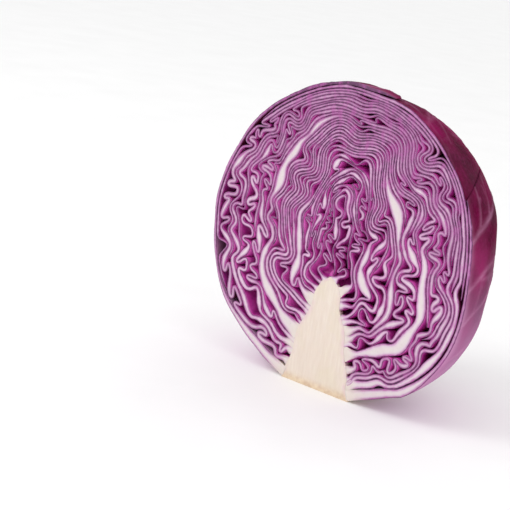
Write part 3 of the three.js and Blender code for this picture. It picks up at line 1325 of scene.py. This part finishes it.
@dataclass
class HeadLeaf:
    """One leaf of the head: its folded line in the cut, drawn back into a bowl round the growing point.

    The depths are how far behind the cut each row of points lies. Near the cut the leaf keeps its folds and
    leans a little to one side, and further back it comes home to the smooth layer that it started as.
    """

    line: LeafLine
    section: CutSection
    fine_step: float = 0.65
    into_core: float = 2.6
    tightest_bend: float = 0.9
    back_wrap: float = 4.5
    depths: tuple[float, ...] = (0, 0.9, 1.9, 3.2, 5, 7.5, 11, 17, 26, 39, 60, 95, 190, math.inf)
    lean: float = 2.6

    def refined(self) -> tuple[Array, Array, Array, Array]:
        """Smooths the line and makes it finer.

        Returns:
            Its points, thickness, home turn and home share.
        """
        line = self.line
        points = self.soften(line.points, 1)
        leaving = points[2] - points[0]
        points = np.vstack([points[0] - leaving / np.linalg.norm(leaving) * self.into_core, points])
        columns = [np.concatenate([[v[0]], v]) for v in (line.thickness, line.home_turn, line.home_share)]
        along = line_lengths(points)
        at = np.linspace(0, along[-1], max(12, int(along[-1] / self.fine_step)))
        fine = np.stack([np.interp(at, along, points[:, 0]), np.interp(at, along, points[:, 1])], 1)
        fine = self.soften(fine, 4)
        finer = (np.interp(at, along, column)[:, None] for column in columns)
        thick, turn, share = (self.soften(column, 4)[:, 0] for column in finer)
        flare = 1 + 0.7 * np.exp(-np.maximum(at - 2.0, 0) / 2.4)
        tip = 0.35 + 0.65 * smooth(at[-1] - at, 0, 6)
        return fine, thick * flare * tip, turn, share

    @staticmethod
    def soften(values: Array, times: int) -> Array:
        """Rounds off a line by averaging neighbours, with its ends held.

        Args:
            values: One row for each point.
            times: How many rounds of averaging.

        Returns:
            The new rows.
        """
        for _ in range(times):
            inner = (values[:-2] + 2 * values[1:-1] + values[2:]) / 4
            values = np.vstack([values[:1], inner, values[-1:]])
        return values

    def faces_of_line(self, points: Array, thick: Array) -> tuple[Array, Array]:
        """The two edges of the cut leaf, pulled in where a tight fold would cross itself.

        Args:
            points: The middle of the leaf.
            thick: Its thickness.

        Returns:
            The outer and the inner edge.
        """
        tangent = np.gradient(points, axis=0)
        tangent /= np.linalg.norm(tangent, axis=1)[:, None] + 1e-9
        outward = np.stack([tangent[:, 1], -tangent[:, 0]], 1) * self.line.side
        bend = np.gradient(tangent, axis=0) / self.fine_step
        curving = self.soften((bend * outward).sum(1)[:, None], 2)[:, 0]
        half = thick / 2 * 0.985 - 0.03
        edges = []
        for way in (1, -1):
            room = np.where(way * curving > 0, self.tightest_bend / np.maximum(way * curving, 1e-3), 99)
            edges.append(points + way * outward * self.soften(np.minimum(half, room)[:, None], 2))
        return edges[0], edges[1]

    def drawn_back(self, flat: Array, turn: Array, share: Array, half: Array) -> Array:
        """Draws a line in the cut back round the growing point.

        Args:
            flat: The line in the cut, as x and z.
            turn: The turn of each point in the smooth layer that it came from.
            share: Its share of the way from the growing point to the outside there.
            half: How far this face lies from the middle of the leaf, outwards.

        Returns:
            Points by row, the cut first and the back last, and by place along the line.
        """
        shape = self.section.shape
        offset = flat - self.section.growing_point
        distance = np.hypot(offset[:, 0], offset[:, 1])
        flat_turn = np.arctan2(offset[:, 0], offset[:, 1])
        flat_share = distance / self.section.head_reach(flat_turn)
        quarter = math.pi / 2
        arcs = np.array(self.depths)[:, None] / (np.maximum(distance, 5.0) * quarter)
        lifts = quarter * (1 - np.exp(-arcs))
        home = smooth(lifts, math.radians(18), math.radians(68))
        to_pole = smooth(lifts, math.radians(40), quarter)
        under_back_leaf = smooth(lifts, math.radians(1), math.radians(16))
        turn_now = blend(flat_turn, turn, home) * (shape.core_turn(lifts) / shape.core_turn(np.zeros(1)))
        wrap = blend(shape.wrap_depth(turn_now), self.back_wrap, under_back_leaf)
        reach = shape.ray_length(turn_now, lifts) - wrap
        home_share = blend(share, self.pole_share(), to_pole) + half / np.maximum(reach, 20)
        radius = blend(flat_share, home_share, home) * reach
        out, back = radius * np.cos(lifts), radius * np.sin(lifts)
        points = np.stack([out * np.sin(turn_now), back, out * np.cos(turn_now) + shape.growing_height], -1)
        room = smooth(1 - flat_share, 0.02, 0.25) * smooth(distance, 6, 20)
        sway = 0.75 + 0.45 * np.sin(flat[:, 0] / 11 + 1) * np.cos(flat[:, 1] / 9)
        swing = self.lean * (1 - np.exp(-points[..., 1] / 3.2)) * (1 - home) * room * sway
        points[..., 0] += swing
        points[..., 2] += swing * 0.35 * np.cos(flat[:, 0] / 8)
        return points

    def pole_share(self) -> float:
        """The share of the way to the outside at which the leaf passes behind the growing point."""
        return (self.line.number - 0.5) / self.section.leaf_count * 0.95 + 0.05

    def marks(self, points: Array, thick: Array, along: Array) -> dict[str, Array]:
        """Where the leaf is white stalk, and how much pigment its blade has.

        Args:
            points: The middle of the cut leaf.
            thick: Its thickness.
            along: The distance along it.

        Returns:
            Attribute values along the line, by name.
        """
        stalk = np.median(thick[(along > 5) & (along < 12)])
        whiteness = float(smooth(stalk, 1.7, 3.6))
        stemness = (0.15 + 0.85 * whiteness) * (1 - smooth(along, 2.6, 3.4 + 6.5 * whiteness))
        outward = smooth(self.line.number, 8, 28)
        pigment = 0.2 + 0.8 * outward * (0.35 + 0.65 * smooth(points[:, 1], 60, 125))
        pigment = np.clip(pigment + 0.35 * math.sin(self.line.number * 2.4), 0, 1)
        return {"pigment": pigment, "stemness": stemness}

    def recess(self, along: Array) -> Array:
        """How far the cut face lies behind the cut plane: unevenly, and deeper where it meets the core.

        Args:
            along: The distance along the line.

        Returns:
            The depth at each point.
        """
        number = self.line.number
        uneven = 0.1 + 0.1 * np.sin(along / 6.5 + number) * smooth(along, 6, 12)
        return 0.003 * number + uneven + 0.1 * (1 - smooth(along, 1.5, 2.6))

    def build(self, placement: Placement, dressing: Dressing) -> bpy.types.Object:
        """Makes the leaf's closed mesh.

        Args:
            placement: Where the head lies in the frame.
            dressing: The finishes.

        Returns:
            The piece.
        """
        points, thick, turn, share = self.refined()
        outer_line, inner_line = self.faces_of_line(points, thick)
        outer = self.drawn_back(outer_line, turn, share, thick / 2)
        inner = self.drawn_back(inner_line, turn, share, -thick / 2)
        along = line_lengths(points)
        marks = self.marks(points, thick, along)
        weather = 1.0 if self.line.number >= self.section.leaf_count - 1 else 0.0
        builder = Builder(f"visual_{self.line.name}")
        outer_numbers = builder.add_leaf_face(outer[:-1], weather=weather, **marks)
        inner_numbers = builder.add_leaf_face(inner[:-1], weather=0.0, **marks)
        tips = np.stack([outer[-1].mean(0), inner[-1].mean(0)])
        poles = builder.add_points(tips, skin_distance=0.0, weather=weather, pigment=0.5, stemness=0.0)
        edges = (outer_numbers[0], inner_numbers[0])
        recess = self.recess(along)
        cap = builder.add_cut_face(edges, outer[0], inner[0], recess, weather=0.0, **marks)
        builder.add_grid(outer_numbers, 1, turned=True)
        builder.add_grid(inner_numbers, 1)
        builder.add_fan(outer_numbers[-1], int(poles[0]), 1, turned=True)
        builder.add_fan(inner_numbers[-1], int(poles[1]), 1)
        for column, material in ((0, 0), (-1, 1)):
            outer_end = np.append(outer_numbers[1:, column], poles[0])
            inner_end = np.append(inner_numbers[1:, column], poles[1])
            builder.close_end(outer_end, inner_end, cap[:, column], material, material, turned=column == 0)
        piece = builder.build(placement, [dressing.flesh, dressing.inner_skin])
        hand_over(piece, self.line.name)
        LOG.info("%s: %d points along its cut", self.line.name, len(points))
        return piece


# ------------------------------------------------------------------------------------ outer leaves


@dataclass
class Venation:
    """The veins of one outer leaf, drawn on it flattened out: along the midrib, and across it."""

    length: float
    seed: int
    reach: float = 75.0
    spacing: float = 19.0
    vein_width: float = 1.5
    step: float = 3.0
    segments: list[tuple[float, float, float, float, float]] = field(default_factory=list)

    def __post_init__(self) -> None:
        """Draws the side veins and their branches."""
        rng = np.random.default_rng(self.seed)
        for side in (-1, 1):
            start = rng.uniform(0, self.spacing)
            while start < self.length:
                heading = rng.uniform(48, 62) * side
                self.draw(np.array([start, 0.0]), heading, self.reach, self.vein_width, 2, rng)
                start += self.spacing * rng.uniform(0.75, 1.3)

    def draw(
        self, at: Array, heading: float, length: float, width: float, level: int, rng: Chance
    ) -> None:
        """Draws a vein that bends towards the leaf's tip, and lets it branch.

        Args:
            at: Where it starts, along and across the leaf.
            heading: Its direction in degrees from the midrib.
            length: How long it is.
            width: How wide it starts.
            level: How many more times it may branch.
            rng: The source of chance.
        """
        count = int(length / self.step)
        next_branch = rng.integers(2, 5)
        for place in range(count):
            heading += -0.9 * np.sign(heading) + rng.normal(0, 3)
            now = width * (1 - 0.75 * place / count)
            turned = math.radians(heading)
            ahead = at + self.step * np.array([math.cos(turned), math.sin(turned)])
            self.segments.append((at[0], at[1], ahead[0], ahead[1], now))
            at = ahead
            next_branch -= 1
            if next_branch == 0 and level > 0:
                fork = heading + rng.choice([-1, 1]) * rng.uniform(28, 50)
                self.draw(at, fork, length * rng.uniform(0.16, 0.34), now * 0.65, level - 1, rng)
                next_branch = rng.integers(3, 7)

    def strength(self, along: Array, across: Array) -> Array:
        """How strongly a vein shows at each place: 0 off the veins, 1 on a thick one.

        Args:
            along: Distances along the midrib.
            across: Distances from the midrib, with a sign.

        Returns:
            The strengths, in the same shape.
        """
        flat = np.stack([along.reshape(-1), across.reshape(-1)], 1)
        strength = np.zeros(len(flat))
        for x0, y0, x1, y1, width in self.segments:
            low = np.minimum((x0, y0), (x1, y1)) - 3 * width
            high = np.maximum((x0, y0), (x1, y1)) + 3 * width
            near = np.where(((flat > low) & (flat < high)).all(1))[0]
            if len(near) == 0:
                continue
            step = np.array([x1 - x0, y1 - y0])
            offset = flat[near] - (x0, y0)
            share = np.clip(offset @ step / (step @ step), 0, 1)
            distance = np.linalg.norm(offset - share[:, None] * step, axis=1)
            mark = np.exp(-((distance / (0.4 * width + 0.75)) ** 2)) * min(1.0, 0.05 + 0.6 * width)
            strength[near] = np.maximum(strength[near], mark)
        return strength.reshape(along.shape)


@dataclass
class OuterLeaf:
    """One loose outer leaf. Bearings are 0 to the right and 90 degrees to the back.

    The base and the tip are climbs, measured along the midrib from straight down. Near and far are how far
    the two margins spread from the midrib at the stalk, halfway and at the tip. All are in degrees. A leaf
    in a higher layer lies a pitch further in. The lip is how far the tip of a lipped leaf stands off the
    head, and the head radius turns angles to lengths on the leaf.
    """

    name: str
    bearing: float
    base: float
    tip: float
    near: tuple[float, float, float]
    far: tuple[float, float, float]
    layer: int
    seed: int
    slant: float = 0.0
    lipped: bool = False
    fine_step: float = 1.1
    pitch: float = 1.75
    below_outside: float = 0.95
    thickness: float = 1.5
    rib_thickness: float = 3.6
    thinnest: float = 0.45
    thin_border: float = 9.0
    lip: float = 1.3
    head_radius: float = 80.0

    @property
    def halved(self) -> bool:
        """True if the leaf was cut through along its midrib, and not just near its tip."""
        return self.near == (0, 0, 0)

    @staticmethod
    def margin(spreads: tuple[float, float, float], along: Array) -> Array:
        """How far a margin spreads from the midrib.

        Args:
            spreads: The spread at the stalk, halfway and at the tip, in degrees.
            along: The share of the way from the stalk to the tip.

        Returns:
            The spread at each place, in radians.
        """
        stalk, middle, end = np.radians(spreads)
        rise = np.sin(math.pi * along)
        return np.where(along < 0.5, blend(stalk, middle, rise), blend(end, middle, rise))

    def rays(self, climb: Array, sideways: Array) -> Array:
        """The directions of places on the leaf from the growing point.

        Args:
            climb: Climbs in radians.
            sideways: Spreads in radians.

        Returns:
            Unit rays.
        """
        bearing = math.radians(self.bearing)
        outwards = np.array([math.cos(bearing), math.sin(bearing), 0])
        across = np.array([-math.sin(bearing), math.cos(bearing), 0])
        midrib = outwards * np.sin(climb)[..., None] - np.array([0, 0, 1]) * np.cos(climb)[..., None]
        return midrib * np.cos(sideways)[..., None] + across * np.sin(sideways)[..., None]

    def outline(self, rng: Chance) -> tuple[Array, Array, Array, Array]:
        """Spreads a grid of places over the leaf, from its stalk to its tip and from margin to margin.

        Args:
            rng: The source of chance, for the ragged margins.

        Returns:
            The share of the way along, the climb, the spread, and 0 at a free margin rising to 1 further in.
        """
        size = self.head_radius
        base, tip = math.radians(self.base), math.radians(self.tip)
        along = np.linspace(0, 1, int((tip - base) * size / self.fine_step))[:, None]
        near, far = self.margin(self.near, along), self.margin(self.far, along)
        ragged = sum(np.sin(along * k + rng.uniform(0, FULL_TURN)) * 0.9 / k for k in (9, 17, 31, 47))
        far = far * (1 + 0.10 * ragged * smooth(along, 0.1, 0.3))
        if not self.halved:
            near = near * (1 - 0.08 * ragged * smooth(-along, -0.9, -0.6))
        columns = int(np.abs(far - near).max() * size / self.fine_step)
        share = np.linspace(0, 1, columns)[None]
        sideways = blend(near, far, share)
        climb = blend(base, tip, along) + math.radians(self.slant) * share * smooth(along, 0.5, 1)
        width = np.abs(far - near) * size
        # A cut edge isn't thin, so its distance doesn't count.
        to_near = share * width + (99 if self.halved else 0)
        to_tip = (1 - along) * (tip - base) * size + (0 if self.halved else 99)
        margin = np.minimum(np.minimum((1 - share) * width, to_near), to_tip)
        return along, climb, sideways, smooth(margin, 0, self.thin_border)

    def cut_first(self, grid: Array) -> Array:
        """Turns a grid so that its first row is the edge in the cut."""
        return grid.swapaxes(0, 1) if self.halved else grid[::-1]

    def marks(self, along: Array, climb: Array, sideways: Array) -> dict[str, Array]:
        """Where the leaf has veins, is pale, and is white stalk.

        Args:
            along: The share of the way to the tip.
            climb: Climbs in radians.
            sideways: Spreads in radians.

        Returns:
            Attribute values by name.
        """
        size, base = self.head_radius, math.radians(self.base)
        venation = Venation(length=(math.radians(self.tip) - base) * size, seed=self.seed)
        vein = venation.strength((climb - base) * size, sideways * size)
        rib = np.exp(-((sideways * size / (6.5 - 4.5 * along)) ** 2)) * (1 - 0.7 * along)
        degrees = np.degrees(climb)
        pale = 1.38 - (degrees - self.base) / 72 - 0.6 * self.layer + 0.3 * rib
        return {
            "vein": np.maximum(vein, rib),
            "paleness": smooth(pale, 0.0, 1.0),
            "stemness": 1 - smooth(degrees, self.base, self.base + 14),
            "pigment": np.full(climb.shape, 0.8),
        }

    def depths(
        self,
        along: Array,
        climb: Array,
        sideways: Array,
        thin: Array,
        ray: Array,
        vein: Array,
        rng: Chance,
    ) -> tuple[Array, Array]:
        """How deep the leaf's two faces lie below the outside of the head, with raised veins and puckers.

        Args:
            along: The share of the way to the tip.
            climb: Climbs in radians.
            sideways: Spreads in radians.
            thin: 0 at a free margin, rising to 1 further in.
            ray: The directions from the growing point.
            vein: How strongly a vein shows.
            rng: The source of chance.

        Returns:
            The depths of the outer and of the inner face.
        """
        puckers = self.waves(climb * self.head_radius, sideways * self.head_radius, rng)
        ridge = smooth(-np.degrees(climb), -78, -34) * smooth(-np.abs(np.degrees(sideways)), -15, -4)
        raised = 0.5 * vein + 0.30 * puckers
        covered = 1 - smooth(ray[..., 0], 0.1, 0.35) * smooth(ray[..., 2], 0.5, 0.75) if self.layer else 0.0
        sunk = self.layer * self.pitch * (1 - ridge) * blend(0.05, 1, covered)
        curl = (1 - thin) * (0.5 + 0.5 * np.sin(along * 23 + self.seed) * smooth(along, 0.1, 0.3))
        outside = sunk + self.below_outside - raised * (0.35 + 0.65 * thin)
        lip = self.lip * smooth(along, 0.94, 1.0) if self.lipped else 0.0
        outside = np.maximum(outside + curl, 0.02) - lip
        inside = outside + raised + self.thickness + (0 if self.layer else self.rib_thickness * ridge)
        thinnest = outside + self.thinnest
        return outside, np.maximum(blend(thinnest, inside, thin), thinnest)

    def build(self, placement: Placement, shape: HeadShape, dressing: Dressing) -> bpy.types.Object:
        """Makes the leaf's closed mesh. The first row of its points is the edge in the cut.

        Args:
            placement: Where the head lies in the frame.
            shape: The outside of the head.
            dressing: The finishes.

        Returns:
            The piece.
        """
        rng = np.random.default_rng(self.seed)
        along, climb, sideways, thin = self.outline(rng)
        middle = np.array([0, 0, shape.growing_height])
        ray = self.rays(climb, sideways)
        turn, lift = np.arctan2(ray[..., 0], ray[..., 2]), np.arcsin(np.clip(ray[..., 1], -1, 1))
        reach = shape.ray_length(turn, lift)
        marks = self.marks(along, climb, sideways)
        depths = self.depths(along, climb, sideways, thin, ray, marks["vein"], rng)
        outer, inner = (self.cut_first(middle + ray * (reach - depth)[..., None]) for depth in depths)
        marks = {name: self.cut_first(values) for name, values in marks.items()}
        outer[0, :, 1] = inner[0, :, 1] = 0.0
        builder = Builder(f"visual_{self.name}")
        outer_numbers = builder.add_leaf_face(outer, **marks)
        inner_numbers = builder.add_leaf_face(inner, **(marks | {"vein": 0.0}))
        edge = {name: values[0] for name, values in marks.items()}
        browned = (0.75 if self.lipped else 0.2) * smooth(along[:, 0], 0.55, 0.9) if self.halved else 0.0
        edges = (outer_numbers[0], inner_numbers[0])
        cap = builder.add_cut_face(edges, outer[0], inner[0], browned=browned, **edge)
        builder.add_grid(outer_numbers, 1, turned=self.halved)
        builder.add_grid(inner_numbers, 1, turned=not self.halved)
        builder.add_grid(np.stack([outer_numbers[-1], inner_numbers[-1]]), 1)
        for column in (0, -1):
            ends = (outer_numbers[1:, column], inner_numbers[1:, column], cap[:, column])
            builder.close_end(*ends, 1, 0, turned=column == 0)
        piece = builder.build(placement, [dressing.flesh, dressing.outer_skin])
        hand_over(piece, self.name)
        LOG.info("%s: %d by %d points", self.name, *climb.shape)
        return piece

    @staticmethod
    def waves(along: Array, across: Array, rng: Chance) -> Array:
        """Puckers the leaf gently between its veins.

        Args:
            along: Distances along the midrib.
            across: Distances from the midrib.
            rng: The source of chance.

        Returns:
            Heights from about -1 to 1.
        """
        total = np.zeros_like(across)
        for _ in range(7):
            length = rng.uniform(16, 45)
            direction = rng.uniform(0, 3.14)
            phase = rng.uniform(0, FULL_TURN)
            towards = along * math.cos(direction) + across * math.sin(direction)
            total += np.sin(towards * FULL_TURN / length + phase)
        return total / 3.5


# -------------------------------------------------------------------------------------------- core


@dataclass
class Core:
    """The solid stem inside the head, cut in half, with its trimmed end on the ground."""

    name: str = "core"
    height: float = 60.2
    levels: int = 90
    sides: int = 128
    recess: float = 0.04

    def cut_into_levels(self, mesh: bpy.types.Mesh) -> None:
        """Cuts a unit cylinder across into even levels.

        Args:
            mesh: The mesh of the cylinder, which is the active object's.
        """
        bpy.ops.object.mode_set(mode="EDIT")
        bpy.ops.mesh.select_mode(type="EDGE")
        bpy.ops.mesh.select_all(action="DESELECT")
        bpy.ops.object.mode_set(mode="OBJECT")
        for edge in mesh.edges:
            low, high = (mesh.vertices[number].co for number in edge.vertices)
            edge.select = abs(low.z - high.z) > 0.5
        bpy.ops.object.mode_set(mode="EDIT")
        bpy.ops.mesh.subdivide(number_cuts=self.levels - 2)
        bpy.ops.object.mode_set(mode="OBJECT")

    def sides_at(self, height: Array, shape: HeadShape) -> tuple[Array, Array]:
        """How far the core reaches to each side, with knobs where leaves spring.

        Args:
            height: Heights above the ground.
            shape: The outline of the core.

        Returns:
            The reach to the left and to the right.
        """
        half = np.maximum(shape.core_half_width(height), 0.3)
        knobs = 0.8 * smooth(height, 2, 8) * smooth(-height, -56, -46)
        return half + knobs * np.sin(height / 4.1 + 1), half + knobs * (np.sin(height / 3.4 + 4) - 0.6)

    def build(self, placement: Placement, shape: HeadShape, dressing: Dressing) -> bpy.types.Object:
        """Makes the core's closed mesh.

        Args:
            placement: Where the head lies in the frame.
            shape: The outline of the core.
            dressing: The finishes.

        Returns:
            The piece.
        """
        bpy.ops.mesh.primitive_cylinder_add(vertices=self.sides, radius=1, depth=1, end_fill_type="TRIFAN")
        piece = bpy.context.object
        piece.name = piece.data.name = f"visual_{self.name}"
        self.cut_into_levels(piece.data)
        number = len(piece.data.vertices)
        unit = np.empty(number * 3, np.float32)
        piece.data.vertices.foreach_get("co", unit)
        across, back, height = unit.reshape(-1, 3).astype(float).T
        z = (height + 0.5) * self.height
        left, right = self.sides_at(z, shape)
        half, lean = (left + right) / 2, (right - left) / 2
        x = lean + half * across
        relief = 0.025 * np.sin(x * 1.9 + 2.0 * np.sin(z / 17)) + 0.03 * np.sin(z * 0.8 + x * 0.3)
        level = smooth(z, 0, 1) * smooth(-z, -self.height, 1 - self.height)
        front = (0.1 + relief) * (1 - np.abs(across) ** 6) * level
        y = self.recess + np.where(back > 1e-4, half * back * 0.97, front)
        points = placement.to_frame(np.stack([x, y, z], -1))
        piece.data.vertices.foreach_set("co", points.astype(np.float32).reshape(-1))
        rim = np.where(back > 1e-4, 1.0, 1 - smooth(half * (1 - np.abs(across)), 0.3, 3.2))
        for name, value in (("rim", rim), ("dried", 0.9 * (1 - smooth(z, 0.6, 5.5)))):
            attribute = piece.data.attributes.new(name, "FLOAT", "POINT")
            attribute.data.foreach_set("value", value.astype(np.float32))
        piece.data.materials.append(dressing.core)
        bpy.ops.object.shade_smooth_by_angle(angle=math.radians(40))
        hand_over(piece, self.name)
        LOG.info("%s: %d faces", self.name, len(piece.data.polygons))
        return piece


# ------------------------------------------------------------------------------------------ studio


@dataclass(frozen=True)
class Softbox:
    """A large soft light, in metres and watts."""

    name: str
    place: tuple[float, float, float]
    size: float
    power: float


@dataclass
class Studio:
    """A white paper floor, soft light all round, and the camera.

    The azimuth, the elevation and the roll are in degrees. The places across and up are how far the head
    lies to the right of the middle of the picture and above it, in metres.
    """

    azimuth: float = 33.8
    elevation: float = 12.2
    roll: float = -9.1
    lens: float = 104.0
    distance: float = 0.775
    place_across: float = 0.0646
    place_up: float = 0.0117
    sky: float = 1.0
    lights: tuple[Softbox, ...] = (
        Softbox("key_light", (-0.7, -0.9, 1.1), size=0.7, power=5.0),
        Softbox("fill_light", (1.3, -0.5, 0.7), size=1.0, power=2.0),
    )

    def build(self, dressing: Dressing) -> None:
        """Builds the floor, the lights, the world and the camera.

        Args:
            dressing: The finishes.
        """
        low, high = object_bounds()
        middle = (Vector(low) + Vector(high)) / 2
        self.lay_floor(dressing)
        for light in self.lights:
            self.hang(light, middle)
        world = bpy.data.worlds.new("studio_world")
        world.use_nodes = True
        background = world.node_tree.nodes["Background"]
        background.inputs["Color"].default_value = linear("#ffffff")
        background.inputs["Strength"].default_value = self.sky
        bpy.context.scene.world = world
        bpy.context.scene.view_settings.view_transform = "Standard"
        self.place_camera(middle)

    @staticmethod
    def lay_floor(dressing: Dressing) -> None:
        """Lays a wide sheet of paper under the head.

        Args:
            dressing: The finishes.
        """
        bpy.ops.mesh.primitive_grid_add(x_subdivisions=8, y_subdivisions=8, size=14, location=(0, 0, 0))
        floor = bpy.context.object
        floor.name = "floor"
        floor.data.materials.append(dressing.paper)
        floor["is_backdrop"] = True

    @staticmethod
    def hang(light: Softbox, middle: Vector) -> None:
        """Hangs a square soft light and turns it to the head.

        Args:
            light: The light.
            middle: The middle of the object's box.
        """
        lamp = bpy.data.lights.new(light.name, "AREA")
        lamp.energy = light.power
        lamp.size = light.size
        holder = bpy.data.objects.new(light.name, lamp)
        holder.location = light.place
        holder.rotation_euler = (middle - Vector(light.place)).to_track_quat("-Z", "Y").to_euler()
        bpy.context.scene.collection.objects.link(holder)

    def place_camera(self, middle: Vector) -> None:
        """Places the camera at its viewing angle, turned so that the head lies to the right of the middle.

        Args:
            middle: The middle of the object's box.
        """
        turn, rise = math.radians(self.azimuth), math.radians(self.elevation)
        back = Vector((math.sin(turn) * math.cos(rise), -math.cos(turn) * math.cos(rise), math.sin(rise)))
        upright = back.to_track_quat("Z", "Y")
        facing = upright @ Quaternion((0, 0, 1), math.radians(-self.roll))
        location = middle + back * self.distance
        right, up = facing @ Vector((1, 0, 0)), facing @ Vector((0, 1, 0))
        target = middle - right * self.place_across - up * self.place_up
        swing = back.rotation_difference(location - target)
        camera = bpy.data.cameras.new("camera")
        camera.lens = self.lens
        camera.sensor_width = 36.0
        holder = bpy.data.objects.new("camera", camera)
        holder.location = location
        holder.rotation_mode = "QUATERNION"
        holder.rotation_quaternion = swing @ facing
        bpy.context.scene.collection.objects.link(holder)
        bpy.context.scene.camera = holder


# ------------------------------------------------------------------------------------------- whole


@dataclass
class CabbageHalf:
    """The whole half head."""

    shape: HeadShape = field(default_factory=HeadShape)
    outer_leaves: tuple[OuterLeaf, ...] = (
        OuterLeaf(
            "outer_leaf_left", 180, 19, 193, (0, 0, 0), (-30, -72, -3), layer=0, seed=11, lipped=True
        ),
        OuterLeaf("outer_leaf_right", 0, 19, 128, (0, 0, 0), (30, 72, 40), layer=0, seed=7, slant=22),
        OuterLeaf("outer_leaf_back", 90, 23, 180, (-22, -80, -84), (22, 66, 40), layer=1, seed=5),
    )

    def build(self, dressing: Dressing) -> None:
        """Builds every piece.

        Args:
            dressing: The finishes.
        """
        placement = Placement.from_frame()
        section = CutSection(self.shape)
        section.lay_out()
        section.grow()
        for line in section.lines:
            HeadLeaf(line, section).build(placement, dressing)
        for leaf in self.outer_leaves:
            leaf.build(placement, self.shape, dressing)
        Core().build(placement, self.shape, dressing)


def main() -> None:
    """Loads the frame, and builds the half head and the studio."""
    logging.basicConfig(level=logging.INFO, format="%(message)s")
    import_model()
    for thing in bpy.context.selected_objects:
        thing.select_set(False)
    dressing = Dressing()
    CabbageHalf().build(dressing)
    Studio().build(dressing)


if __name__ == "__main__":
    main()
